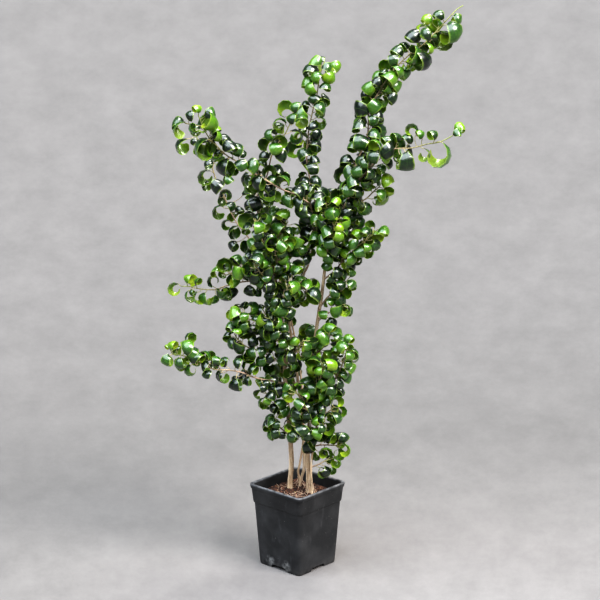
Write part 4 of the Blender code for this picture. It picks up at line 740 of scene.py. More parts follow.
def finish_modifier(obj, tree, values):
    """Runs a node tree on the object and returns the plain mesh that it makes."""
    modifier = obj.modifiers.new(tree.name, "NODES")
    modifier.node_group = tree
    for socket in tree.interface.items_tree:
        if socket.item_type == "SOCKET" and socket.in_out == "INPUT" and socket.name in values:
            modifier[socket.identifier] = values[socket.name]
    evaluated = obj.evaluated_get(bpy.context.evaluated_depsgraph_get())
    mesh = bpy.data.meshes.new_from_object(evaluated)
    obj.modifiers.remove(modifier)
    return mesh


def spray_tree():
    """Node tree that sets a leaf on each leaf point and a tube along each drawn line."""
    tree = bpy.data.node_groups.new("leafy_spray", "GeometryNodeTree")
    face = tree.interface
    face.new_socket("Drawing", in_out="INPUT", socket_type="NodeSocketGeometry")
    face.new_socket("Leaf Shapes", in_out="INPUT", socket_type="NodeSocketCollection")
    face.new_socket("Leaf Finish", in_out="INPUT", socket_type="NodeSocketMaterial")
    face.new_socket("Twig Finish", in_out="INPUT", socket_type="NodeSocketMaterial")
    face.new_socket("Twig Sides", in_out="INPUT", socket_type="NodeSocketInt")
    face.new_socket("Spray", in_out="OUTPUT", socket_type="NodeSocketGeometry")
    add, join = nodes_of(tree)
    given = add("NodeGroupInput").outputs
    is_leaf = add("GeometryNodeInputNamedAttribute", data_type="BOOLEAN", Name="leaf")
    apart = add("GeometryNodeSeparateGeometry", domain="POINT")
    join(given["Drawing"], apart.inputs["Geometry"])
    join(is_leaf.outputs["Attribute"], apart.inputs["Selection"])

    shapes = add("GeometryNodeCollectionInfo")
    shapes.inputs["Separate Children"].default_value = True
    shapes.inputs["Reset Children"].default_value = True
    join(given["Leaf Shapes"], shapes.inputs["Collection"])
    shape = add("GeometryNodeInputNamedAttribute", data_type="INT", Name="shape")
    turn = add("GeometryNodeInputNamedAttribute", data_type="FLOAT_VECTOR", Name="turn")
    rotation = add("FunctionNodeEulerToRotation")
    join(turn.outputs["Attribute"], rotation.inputs["Euler"])
    size = add("GeometryNodeInputNamedAttribute", data_type="FLOAT_VECTOR", Name="size")
    leaves = add("GeometryNodeInstanceOnPoints")
    leaves.inputs["Pick Instance"].default_value = True
    join(apart.outputs["Selection"], leaves.inputs["Points"])
    join(shapes.outputs["Instances"], leaves.inputs["Instance"])
    join(shape.outputs["Attribute"], leaves.inputs["Instance Index"])
    join(rotation.outputs["Rotation"], leaves.inputs["Rotation"])
    join(size.outputs["Attribute"], leaves.inputs["Scale"])

    lines = add("GeometryNodeMeshToCurve")
    join(apart.outputs["Inverted"], lines.inputs["Mesh"])
    outline = add("GeometryNodeCurvePrimitiveCircle")
    outline.inputs["Radius"].default_value = 1
    join(given["Twig Sides"], outline.inputs["Resolution"])
    thickness = add("GeometryNodeInputNamedAttribute", data_type="FLOAT", Name="thickness")
    tubes = add("GeometryNodeCurveToMesh")
    tubes.inputs["Fill Caps"].default_value = True
    join(lines.outputs["Curve"], tubes.inputs["Curve"])
    join(outline.outputs["Curve"], tubes.inputs["Profile Curve"])
    join(thickness.outputs["Attribute"], tubes.inputs["Scale"])

    both = add("GeometryNodeJoinGeometry")
    join(leaves.outputs["Instances"], both.inputs["Geometry"])
    join(tubes.outputs["Mesh"], both.inputs["Geometry"])
    real = add("GeometryNodeRealizeInstances")
    join(both.outputs["Geometry"], real.inputs["Geometry"])
    twig_finish = add("GeometryNodeSetMaterial")
    join(real.outputs["Geometry"], twig_finish.inputs["Geometry"])
    join(given["Twig Finish"], twig_finish.inputs["Material"])
    leaf_finish = add("GeometryNodeSetMaterial")
    join(twig_finish.outputs["Geometry"], leaf_finish.inputs["Geometry"])
    join(is_leaf.outputs["Attribute"], leaf_finish.inputs["Selection"])
    join(given["Leaf Finish"], leaf_finish.inputs["Material"])
    join(leaf_finish.outputs["Geometry"], add("NodeGroupOutput").inputs["Spray"])
    return tree


# Leaf shapes

Form = namedtuple("Form", "curl arch cone lean wave breadth")


def leaf_forms():
    """The curls that the leaves are picked from: plain and flared, each for either wider side."""
    chance = random.Random(SEED)
    forms = []
    for k in range(LEAF_CURLS):
        curl = LEAF_CURL[0] + (LEAF_CURL[1] - LEAF_CURL[0]) * (k + 0.5) / LEAF_CURLS
        for cone in (BLADE_CONE, FLARED_CONE):
            for wider_side in (1, -1):
                forms.append(Form(curl + chance.uniform(*TIP_CURL), chance.uniform(*BLADE_ARCH),
                                  wider_side * chance.uniform(*cone),
                                  chance.uniform(-0.7, 0.7), chance.uniform(0, math.tau),
                                  chance.uniform(*BLADE_BREADTH)))
    return forms


def blade_breadth(along):
    """Half the blade's breadth at a share of its length, 1 at its broadest."""
    return math.sin(math.pi * along ** 0.74) ** 0.5 if 0 < along < 1 else 0


def blade_point(form, along, across, sunk):
    """A point of a blade whose ring has a radius of 1. Across runs from edge to edge."""
    angle = LEAF_START + form.curl * along
    breadth = blade_breadth(along)
    reach = 1 - LEAF_TIGHTENING * along - BASE_DIP * (1 - breadth)
    reach += form.cone * across * breadth - form.arch * (across * breadth) ** 2 - sunk
    reach += 0.05 * math.sin(8 * along + form.wave) * across
    half = LEAF_WIDTH_PER_RADIUS / 2 * breadth * form.breadth
    drift = form.lean * (along - 0.5)
    return Vector((half * across + drift, reach * math.cos(angle), reach * math.sin(angle)))


def make_blade(name, form, collection):
    """One curled blade with an outer and an inner face, which meet in its rim."""
    outer = (-1, -0.5, 0, 0.5, 1)
    inner = (0.5, 0, -0.5)
    work = bmesh.new()
    uv = work.loops.layers.uv.new("UVMap")
    rows = []
    for row in range(BLADE_ROWS):
        along = 0.015 + 0.965 * row / (BLADE_ROWS - 1)
        ring = [(v, along, 0) for v in outer]
        ring += [(v, along, BLADE_THICKNESS * (1 - v * v)) for v in inner]
        rows.append([(work.verts.new(blade_point(form, u, v, sunk)), (v / 2 + 0.5, u))
                     for v, u, sunk in ring])
    count = len(rows[0])
    for low, high in zip(rows, rows[1:]):
        for k in range(count):
            step = (k + 1) % count
            corners = [low[k], high[k], high[step], low[step]]
            paint(work.faces.new([c[0] for c in corners]), corners, uv)
    base = (work.verts.new(blade_point(form, 0, 0, 0)), (0.5, 0))
    tip = (work.verts.new(blade_point(form, 1, 0, 0)), (0.5, 1))
    for k in range(count):
        step = (k + 1) % count
        for corners in ([rows[0][k], rows[0][step], base], [rows[-1][step], rows[-1][k], tip]):
            paint(work.faces.new([c[0] for c in corners]), corners, uv)
    bmesh.ops.recalc_face_normals(work, faces=work.faces)
    mesh = bpy.data.meshes.new(name)
    work.to_mesh(mesh)
    work.free()
    sides = mesh.attributes.new("inner", "FLOAT", "FACE")
    for polygon in mesh.polygons:
        middle = polygon.center
        outward = polygon.normal.y * middle.y + polygon.normal.z * middle.z
        sides.data[polygon.index].value = 1 if outward < 0 else 0
    mesh.shade_smooth()
    mesh.set_sharp_from_angle(angle=math.radians(75))
    obj = bpy.data.objects.new(name, mesh)
    collection.objects.link(obj)
    return obj


def paint(face, corners, uv):
    """Gives a face's corners their places on the blade."""
    for loop, (corner, place) in zip(face.loops, corners):
        loop[uv].uv = place


# Drawings of the sprays

class Drawing:
    """Lines and leaf points with the attributes that the node tree reads."""

    def __init__(self):
        self.points = []
        self.edges = []
        self.values = {key: [] for key in ("leaf", "shape", "turn", "size", "tone", "thickness",
                                           "age")}

    def add_point(self, place, **values):
        """One point with its attributes, which are zero where they aren't given."""
        self.points.append(place)
        for key, column in self.values.items():
            blank = (0.0, 0.0, 0.0) if key in ("turn", "size") else 0
            column.append(values.get(key, blank))

    def add_line(self, path, radii, ages):
        """A line that becomes a tube."""
        start = len(self.points)
        for place, radius, age in zip(path, radii, ages):
            self.add_point(place, thickness=radius, age=age)
        self.edges += [(start + k, start + k + 1) for k in range(len(path) - 1)]

    def as_object(self, name):
        """The drawing as an object with named attributes."""
        mesh = bpy.data.meshes.new(name + "_drawing")
        mesh.from_pydata([tuple(p) for p in self.points], self.edges, [])
        kinds = {"leaf": "BOOLEAN", "shape": "INT", "turn": "FLOAT_VECTOR",
                 "size": "FLOAT_VECTOR", "tone": "FLOAT", "thickness": "FLOAT", "age": "FLOAT"}
        for key, kind in kinds.items():
            attribute = mesh.attributes.new(key, kind, "POINT")
            field = "vector" if kind == "FLOAT_VECTOR" else "value"
            attribute.data.foreach_set(field, np.array(self.values[key]).ravel())
        obj = bpy.data.objects.new(name + "_drawing", mesh)
        bpy.context.scene.collection.objects.link(obj)
        return obj


def leaf_turn(leaf):
    """The leaf's rotation, as angles about X, Y and Z."""
    axis = leaf.toward.cross(leaf.rise)
    return tuple(Matrix((axis, leaf.toward, leaf.rise)).transposed().to_euler())


def add_leaf(drawing, leaf, tone, flared, wider_side):
    """A leaf point and the bent stalk that holds the leaf."""
    span = (leaf.curl - LEAF_CURL[0]) / (LEAF_CURL[1] - LEAF_CURL[0])
    shape = 4 * min(LEAF_CURLS - 1, int(span * LEAF_CURLS)) + 2 * flared + wider_side
    drawing.add_point(leaf.centre, leaf=True, shape=shape, turn=leaf_turn(leaf),
                      size=(leaf.radius * BLADE_GROWTH,) * 3, tone=tone)
    start_angle = leaf.toward * math.cos(LEAF_START) + leaf.rise * math.sin(LEAF_START)
    onward = leaf.rise * math.cos(LEAF_START) - leaf.toward * math.sin(LEAF_START)
    base = leaf.centre + start_angle * leaf.radius * BLADE_GROWTH * (1 - BASE_DIP)
    bend = base - onward * (base - leaf.root).length * 0.45
    path = []
    for k in range(PETIOLE_STEPS + 1):
        t = k / PETIOLE_STEPS
        path.append(leaf.root * (1 - t) ** 2 + bend * 2 * t * (1 - t) + base * t * t)
    path.append(base + onward * leaf.radius * 0.12)
    radii = [PETIOLE_RADIUS] * (len(path) - 1) + [PETIOLE_RADIUS * 0.7]
    drawing.add_line(path, radii, [0.6 + 0.4 * tone] * len(path))


def leaf_tone(leaf, twig, chance):
    """How young and yellow a leaf is: more so towards its twig's tip."""
    along = min(range(len(twig.sites)), key=lambda k: (twig.sites[k] - leaf.root).length)
    share = along / (len(twig.sites) - 1)
    base, tip = TONES.get(twig.spray.name, (0.20, 0.5))
    tone = base + (tip - base) * share ** 2 + chance.gauss(0, 0.17)
    return min(1, max(0, tone))


# Set leaves that stand further out than those of the solids.
OUTER_LEAVES = {
    "arm_left_low": [(-14.3, 31.7, 0.75, 35), (-17.1, 28.6, 0.8, 60), (-17.0, 30.4, 0.5, 75)],
    "arm_left_top": [(-15.3, 60.2, 0.85, 50), (-13.8, 61.2, 0.8, 70)],
    "arm_right": [(20.6, 58.9, 0.6, 60)],
}

# How densely the further leaves stand on a spray, how much larger they are and where they end.
FULLNESS = {
    "spray_low_right": 0.5,
    "spray_low_right_small": 0.3,
    "spray_low_left": 0.6,
    "spray_low_left_upper": 0.7,
    "arm_left_low": 0.4,
    "spray_left_rings": 0.5,
    "arm_left_middle": 0.12,
    "spray_left_ring": 0.6,
    "arm_left_top": 0.12,
    "arm_left_upper": 0.4,
    "shoot_left_top": 0.25,
    "shoot_middle_top": 0.3,
    "shoot_right_top": 0.85,
    "arm_right": 0.75,
    "spray_right_stub": 0.2,
    "spray_right_end": 0.8,
    "spray_right_mid": 0.5,
    "spray_right_low_ring": 0.5,
    "shoot_thin": 0.7,
    "spray_thin_side": 0.7,
}
LARGER = {
    "shoot_right_top": 1.3,
    "shoot_middle_top": 1.2,
    "shoot_left_top": 1.2,
    "arm_left_upper": 1.25,
    "arm_right": 1.2,
}
BARE_FROM = {"shoot_right_top": 0.8, "arm_left_middle": 0.9, "arm_right": 0.68}

# A spray's tone at its base and at its tip: 0 is old and dark, 1 is young and yellow-green.
TONES = {
    "arm_left_top": (0.1, 0.35),
    "arm_left_low": (0.1, 0.55),
    "arm_left_middle": (0.15, 0.85),
    "arm_left_upper": (0.1, 0.55),
    "shoot_middle_top": (0.1, 0.6),
    "shoot_left_top": (0.1, 0.55),
    "shoot_right_top": (0.1, 0.9),
    "arm_right": (0.2, 0.65),
    "spray_right_stub": (0.5, 0.95),
    "spray_right_end": (0.4, 0.55),
    "spray_right_mid": (0.4, 0.6),
    "spray_right_low_ring": (0.4, 0.6),
    "spray_right_front": (0.4, 0.8),
    "spray_right_side": (0.35, 0.6),
    "spray_front_low_right": (0.35, 0.7),
    "spray_middle_leaf": (0.4, 0.8),
    "shoot_thin": (0.3, 0.5),
}


def make_spray(twig, leaves, tree, shapes, finishes):
    """One leafy spray as a single mesh."""
    chance = random.Random(twig.spray.name)
    drawing = Drawing()
    path = smooth_path(twig.points, FINE_STEP)
    radii = tapered(len(path), TWIG_BASE, TWIG_TIP * 0.7)
    ages = [k / (len(path) - 1) for k in range(len(path))]
    drawing.add_line(path, radii, ages)
    for leaf in leaves:
        tone = leaf_tone(leaf, twig, chance)
        if leaf.loose:
            leaf = rolled(resized(leaf, chance.uniform(*LOOSE_SIZE)), chance.gauss(0, LOOSE_ROLL))
        axis = leaf.toward.cross(leaf.rise)
        facing = axis.dot((VIEWPOINT - leaf.centre).normalized())
        wider_side = (facing < 0) == (chance.random() < WIDER_TO_VIEW)
        flared = leaf.radius < FLARED_UP_TO and abs(facing) > FLARED_FROM
        add_leaf(drawing, leaf, tone, int(flared), int(wider_side))
    drawn = drawing.as_object(twig.spray.name)
    mesh = finish_modifier(drawn, tree, {
        "Leaf Shapes": shapes, "Leaf Finish": finishes["leaf"],
        "Twig Finish": finishes["twig"], "Twig Sides": TWIG_SIDES})
    bpy.data.objects.remove(drawn)
    return as_piece(twig.spray.name + "_fine", mesh, twig.spray.name)


def as_piece(name, mesh, node):
    """A finished piece that rides on the plant's one body and stands for a node."""
    piece = bpy.data.objects.new(name, mesh)
    mesh.name = name
    bpy.context.scene.collection.objects.link(piece)
    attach(piece, "root")
    if node:
        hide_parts(node)
    return piece


# Stems

def make_stem(wood, finish):
    """A stem with a slightly crooked line, swollen rings at its old leaf scars and a root flare."""
    chance = random.Random(wood.stem.name)
    thick, thin = wood.stem.thickness
    path = smooth_path([placed(*p) for p in wood.stem.route], FINE_STEP / 2)
    radii = tapered(len(path), thick / 2000, thin / 2000)
    total = length_of(path)
    scars = []
    at = 0.01
    while at < total:
        scars.append((at, chance.uniform(0.05, 0.16)))
        at += chance.uniform(0.011, 0.019)
    points = []
    across = (path[1] - path[0]).orthogonal().normalized()
    run = 0
    for k, place in enumerate(path):
        ahead = (path[min(k + 1, len(path) - 1)] - path[max(k - 1, 0)]).normalized()
        across = (across - ahead * across.dot(ahead)).normalized()
        side = ahead.cross(across)
        if k:
            run += (place - path[k - 1]).length
        swell = sum(size * math.exp(-((run - s) / 0.0011) ** 2) for s, size in scars)
        flare = 0.35 * math.exp(-max(0, place.z - SOIL_EDGE) / 0.006)
        sway = noise.noise_vector(place * 45 + Vector((len(scars), 0, 0))) * 0.0004
        for s in range(STEM_SIDES):
            angle = s * math.tau / STEM_SIDES
            out = across * math.cos(angle) + side * math.sin(angle)
            rough = 0.06 * noise.noise((place + out * radii[k]) * 330)
            points.append(place + sway + out * radii[k] * (1 + swell + flare + rough))
    faces = []
    for k in range(len(path) - 1):
        for s in range(STEM_SIDES):
            step = (s + 1) % STEM_SIDES
            faces.append((k * STEM_SIDES + s, k * STEM_SIDES + step,
                          (k + 1) * STEM_SIDES + step, (k + 1) * STEM_SIDES + s))
    faces.append(tuple(reversed(range(STEM_SIDES))))
    faces.append(tuple(range(len(points) - STEM_SIDES, len(points))))
    mesh = bpy.data.meshes.new(wood.stem.name)
    mesh.from_pydata([tuple(p) for p in points], [], faces)
    mesh.shade_smooth()
    mesh.materials.append(finish)
    return as_piece(wood.stem.name + "_fine", mesh, wood.stem.name)


# Pot

def turned(point):
    """The point turned with the pot, one corner of which faces the front."""
    cosine, sine = math.cos(POT_TURN), math.sin(POT_TURN)
    return Vector((point.x * cosine - point.y * sine, point.x * sine + point.y * cosine, point.z))


def pot_section(side, height):
    """The pot's rounded outline with the given side, with points along its straights too."""
    corner = CORNER_SHARE * side
    reach = side / 2 - corner
    points = []
    for quarter in range(4):
        turn = quarter * math.pi / 2
        centre = reach * Vector((math.cos(turn) - math.sin(turn),
                                 math.sin(turn) + math.cos(turn)))
        for k in range(CORNER_STEPS + 1):
            angle = turn + k / CORNER_STEPS * math.pi / 2
            across = centre + corner * Vector((math.cos(angle), math.sin(angle)))
            points.append(Vector((*across, height)))
        last = points[-1]
        ahead = Vector((-math.cos(turn), -math.sin(turn), 0))
        for k in range(1, SIDE_STEPS):
            points.append(last + ahead * 2 * reach * k / SIDE_STEPS)
    return [turned(p) for p in points]


def pot_side(height):
    """Outer side of the pot's tapered body at a height."""
    return POT_BASE_SIDE + (POT_RIM_SIDE - POT_BASE_SIDE) * height / POT_HEIGHT


def inner_side(height):
    """Inner side of the pot at a height."""
    return pot_side(height) - 2 * (RIM_LIP_PROUD + COLLAR_LEDGE + POT_WALL)


def pot_profile():
    """Sides and heights up the pot's outer face, over its lip and down inside to the floor."""
    ledge = POT_HEIGHT - RIM_LIP - COLLAR_HEIGHT
    lip = POT_HEIGHT - RIM_LIP
    collar_out = 2 * RIM_LIP_PROUD
    ledge_out = collar_out + 2 * COLLAR_LEDGE
    rows = [(pot_side(0) - 2 * BASE_ROUND, 0.0),
            (pot_side(0) - 1.1 * BASE_ROUND, 0.12 * BASE_ROUND),
            (pot_side(0) - 0.45 * BASE_ROUND, 0.45 * BASE_ROUND),
            (pot_side(BASE_ROUND) - 0.1 * BASE_ROUND, BASE_ROUND)]
    for share in (0.12, 0.3, 0.5, 0.7, 0.88):
        height = BASE_ROUND + (ledge - BASE_ROUND) * share
        rows.append((pot_side(height) - ledge_out * share, height))
    rows += [(pot_side(ledge) - ledge_out, ledge - 0.0009),
             (pot_side(ledge) - ledge_out + 0.0004, ledge - 0.0002),
             (pot_side(ledge) - collar_out - 0.0006, ledge + 0.0003),
             (pot_side(ledge) - collar_out, ledge + 0.0011),
             (pot_side(lip) - collar_out, lip - 0.0006),
             (pot_side(lip) - collar_out + 0.0005, lip),
             (pot_side(lip) - 0.0005, lip + 0.0003),
             (pot_side(lip), lip + 0.0010),
             (pot_side(POT_HEIGHT), POT_HEIGHT - 0.0011),
             (pot_side(POT_HEIGHT) - 0.0006, POT_HEIGHT - 0.0003),
             (pot_side(POT_HEIGHT) - 0.0016, POT_HEIGHT)]
    inside = inner_side(POT_HEIGHT)
    rows += [(inside + 0.0016, POT_HEIGHT),
             (inside + 0.0006, POT_HEIGHT - 0.0003),
             (inside, POT_HEIGHT - 0.0011),
             (inner_side(SOIL_EDGE), SOIL_EDGE),
             (inner_side(POT_FLOOR) + 0.0, POT_FLOOR)]
    return rows


def make_pot(finish):
    """The tapered shell with its lip, its ledge, four drain notches and four drain holes."""
    rings = [pot_section(side, z) for side, z in pot_profile()]
    count = len(rings[0])
    work = bmesh.new()
    rows = [[work.verts.new(p) for p in ring] for ring in rings]
    for low, high in zip(rows, rows[1:]):
        for k in range(count):
            step = (k + 1) % count
            work.faces.new((low[k], low[step], high[step], high[k]))
    work.faces.new(list(reversed(rows[0])))
    work.faces.new(rows[-1])
    bmesh.ops.recalc_face_normals(work, faces=work.faces)
    mesh = bpy.data.meshes.new("pot")
    work.to_mesh(mesh)
    work.free()
    shell = bpy.data.objects.new("pot_shell", mesh)
    bpy.context.scene.collection.objects.link(shell)
    cutters = bpy.data.collections.new("cutters")
    bpy.context.scene.collection.children.link(cutters)
    for quarter in range(4):
        cut_notch(quarter, cutters)
        cut_drain(quarter, cutters)
    modifier = shell.modifiers.new("Drains", "BOOLEAN")
    modifier.operand_type = "COLLECTION"
    modifier.collection = cutters
    evaluated = shell.evaluated_get(bpy.context.evaluated_depsgraph_get())
    mesh = bpy.data.meshes.new_from_object(evaluated)
    for obj in [shell] + list(cutters.objects):
        bpy.data.objects.remove(obj)
    bpy.data.collections.remove(cutters)
    mesh.materials.clear()
    mesh.materials.append(finish)
    mesh.shade_smooth()
    mesh.set_sharp_from_angle(angle=math.radians(50))
    return as_piece("pot_fine", mesh, "pot")


def cut_notch(quarter, cutters):
    """A low arch through the bottom edge at the middle of one side."""
    work = bmesh.new()
    bmesh.ops.create_cube(work, size=1)
    for corner in work.verts:
        corner.co.x = corner.co.x * 2 * NOTCH_DEPTH + POT_BASE_SIDE / 2
        corner.co.y *= NOTCH_WIDTH
        corner.co.z *= 2 * NOTCH_HEIGHT
    edges = [e for e in work.edges if all(v.co.z > 0 for v in e.verts)]
    edges += [e for e in work.edges if abs(e.verts[0].co.z - e.verts[1].co.z) > NOTCH_HEIGHT]
    bmesh.ops.bevel(work, geom=edges, offset=0.8 * NOTCH_HEIGHT, segments=6, profile=0.5,
                    affect="EDGES")
    turn = Matrix.Rotation(POT_TURN + quarter * math.pi / 2, 4, "Z")
    bmesh.ops.transform(work, matrix=turn, verts=work.verts)
    add_cutter(f"notch_{quarter}", work, cutters)


def cut_drain(quarter, cutters):
    """A round hole in the floor towards one corner."""
    angle = POT_TURN + (quarter + 0.5) * math.pi / 2
    place = Vector((DRAIN_RING * math.cos(angle), DRAIN_RING * math.sin(angle), POT_FLOOR / 2))
    work = bmesh.new()
    bmesh.ops.create_cone(work, cap_ends=True, segments=24, radius1=DRAIN_RADIUS,
                          radius2=DRAIN_RADIUS, depth=4 * POT_FLOOR,
                          matrix=Matrix.Translation(place))
    add_cutter(f"drain_{quarter}", work, cutters)


def add_cutter(name, work, cutters):
    """Turns the work into an object among the cutters."""
    mesh = bpy.data.meshes.new(name)
    work.to_mesh(mesh)
    work.free()
    cutters.objects.link(bpy.data.objects.new(name, mesh))


# Soil

def soil_height(x, y):
    """Height of the loose, slightly mounded surface."""
    out = math.hypot(x, y) / (POT_RIM_SIDE / 2)
    lumps = noise.noise((x * 160, y * 160, 0)) + 0.6 * noise.noise((x * 420, y * 420, 3))
    rise = SOIL_FILL + (SOIL_MOUND - SOIL_FILL) * max(0, 1 - out * out)
    return SOIL_EDGE + rise + SOIL_LUMP * lumps


def make_soil(finish):
    """The root ball: it fills the pot to below its rim, with a crumbly top."""
    foot = POT_FLOOR + SOIL_GAP
    rings = [pot_section(inner_side(foot) - 2 * SOIL_GAP, foot),
             pot_section(inner_side(SOIL_EDGE) - 2 * SOIL_GAP, SOIL_EDGE - 0.0006)]
    for k in range(SOIL_RINGS):
        share = 0.99 - 0.96 * k / (SOIL_RINGS - 1)
        ring = pot_section((inner_side(SOIL_EDGE) - 2 * SOIL_GAP) * share, SOIL_EDGE)
        rings.append([Vector((p.x, p.y, soil_height(p.x, p.y))) for p in ring])
    count = len(rings[0])
    work = bmesh.new()
    rows = [[work.verts.new(p) for p in ring] for ring in rings]
    for low, high in zip(rows, rows[1:]):
        for k in range(count):
            step = (k + 1) % count
            work.faces.new((low[k], low[step], high[step], high[k]))
    work.faces.new(list(reversed(rows[0])))
    work.faces.new(rows[-1])
    bmesh.ops.recalc_face_normals(work, faces=work.faces)
    mesh = bpy.data.meshes.new("soil")
    work.to_mesh(mesh)
    work.free()
    mesh.materials.append(finish)
    return as_piece("soil_fine", mesh, "soil")


def make_crumb(name, spread, lumps, collection):
    """A small uneven lump with a size of about 1, stretched by spread."""
    work = bmesh.new()
    bmesh.ops.create_icosphere(work, subdivisions=1, radius=0.5)
    for corner in work.verts:
        corner.co *= 1 + lumps * noise.noise(corner.co * 3 + Vector((len(name), 0, 0)))
        corner.co.x *= spread[0]
        corner.co.y *= spread[1]
        corner.co.z *= spread[2]
    mesh = bpy.data.meshes.new(name)
    work.to_mesh(mesh)
    work.free()
    obj = bpy.data.objects.new(name, mesh)
    collection.objects.link(obj)


def litter_tree():
    """Node tree that strews crumbs of random size, turn and tint over a surface."""
    tree = bpy.data.node_groups.new("litter", "GeometryNodeTree")
    face = tree.interface
    face.new_socket("Ground", in_out="INPUT", socket_type="NodeSocketGeometry")
    face.new_socket("Crumbs", in_out="INPUT", socket_type="NodeSocketCollection")
    face.new_socket("Finish", in_out="INPUT", socket_type="NodeSocketMaterial")
    face.new_socket("Density", in_out="INPUT", socket_type="NodeSocketFloat")
    face.new_socket("Smallest", in_out="INPUT", socket_type="NodeSocketFloat")
    face.new_socket("Largest", in_out="INPUT", socket_type="NodeSocketFloat")
    face.new_socket("Seed", in_out="INPUT", socket_type="NodeSocketInt")
    face.new_socket("Litter", in_out="OUTPUT", socket_type="NodeSocketGeometry")
    add, join = nodes_of(tree)
    given = add("NodeGroupInput").outputs
    strewn = add("GeometryNodeDistributePointsOnFaces")
    join(given["Ground"], strewn.inputs["Mesh"])
    join(given["Density"], strewn.inputs["Density"])
    join(given["Seed"], strewn.inputs["Seed"])
    tint = add("FunctionNodeRandomValue", data_type="FLOAT")
    join(given["Seed"], tint.inputs["Seed"])
    tinted = add("GeometryNodeStoreNamedAttribute", data_type="FLOAT", domain="POINT")
    tinted.inputs["Name"].default_value = "tint"
    join(strewn.outputs["Points"], tinted.inputs["Geometry"])
    join(tint.outputs[1], tinted.inputs["Value"])
    kinds = add("GeometryNodeCollectionInfo")
    kinds.inputs["Separate Children"].default_value = True
    kinds.inputs["Reset Children"].default_value = True
    join(given["Crumbs"], kinds.inputs["Collection"])
    turn = add("FunctionNodeRandomValue", data_type="FLOAT_VECTOR")
    turn.inputs[1].default_value = (math.tau, math.tau, math.tau)
    join(given["Seed"], turn.inputs["Seed"])
    size = add("FunctionNodeRandomValue", data_type="FLOAT")
    join(given["Smallest"], size.inputs[2])
    join(given["Largest"], size.inputs[3])
    join(given["Seed"], size.inputs["Seed"])
    rotation = add("FunctionNodeEulerToRotation")
    join(turn.outputs[0], rotation.inputs["Euler"])
    crumbs = add("GeometryNodeInstanceOnPoints")
    crumbs.inputs["Pick Instance"].default_value = True
    join(tinted.outputs["Geometry"], crumbs.inputs["Points"])
    join(kinds.outputs["Instances"], crumbs.inputs["Instance"])
    join(rotation.outputs["Rotation"], crumbs.inputs["Rotation"])
    join(size.outputs[1], crumbs.inputs["Scale"])
    real = add("GeometryNodeRealizeInstances")
    join(crumbs.outputs["Instances"], real.inputs["Geometry"])
    finish = add("GeometryNodeSetMaterial")
    join(real.outputs["Geometry"], finish.inputs["Geometry"])
    join(given["Finish"], finish.inputs["Material"])
    join(finish.outputs["Geometry"], add("NodeGroupOutput").inputs["Litter"])
    return tree


def make_litter(name, kinds, finish, density, sizes, seed):
    """Strews one kind of crumb over the soil, as one piece."""
    tree = litter_tree()
    crumbs = bpy.data.collections.new(name + "_kinds")
    for k, (spread, lumps) in enumerate(kinds):
        make_crumb(f"{name}_{k}", spread, lumps, crumbs)
    work = bmesh.new()
    steps = 26
    side = inner_side(SOIL_EDGE) * 0.96
    grid = [[None] * (steps + 1) for _ in range(steps + 1)]
    for row in range(steps + 1):
        for column in range(steps + 1):
            place = turned(Vector((side * (column / steps - 0.5), side * (row / steps - 0.5), 0)))
            place.z = soil_height(place.x, place.y)
            grid[row][column] = work.verts.new(place)
    for row in range(steps):
        for column in range(steps):
            work.faces.new((grid[row][column], grid[row][column + 1],
                            grid[row + 1][column + 1], grid[row + 1][column]))
    ground_mesh = bpy.data.meshes.new(name + "_ground")
    work.to_mesh(ground_mesh)
    work.free()
    ground = bpy.data.objects.new(name + "_ground", ground_mesh)
    bpy.context.scene.collection.objects.link(ground)
    mesh = finish_modifier(ground, tree, {
        "Crumbs": crumbs, "Finish": finish, "Density": density,
        "Smallest": sizes[0], "Largest": sizes[1], "Seed": seed})
    bpy.data.objects.remove(ground)
    for obj in list(crumbs.objects):
        bpy.data.objects.remove(obj)
    bpy.data.collections.remove(crumbs)
    return as_piece(name, mesh, None)


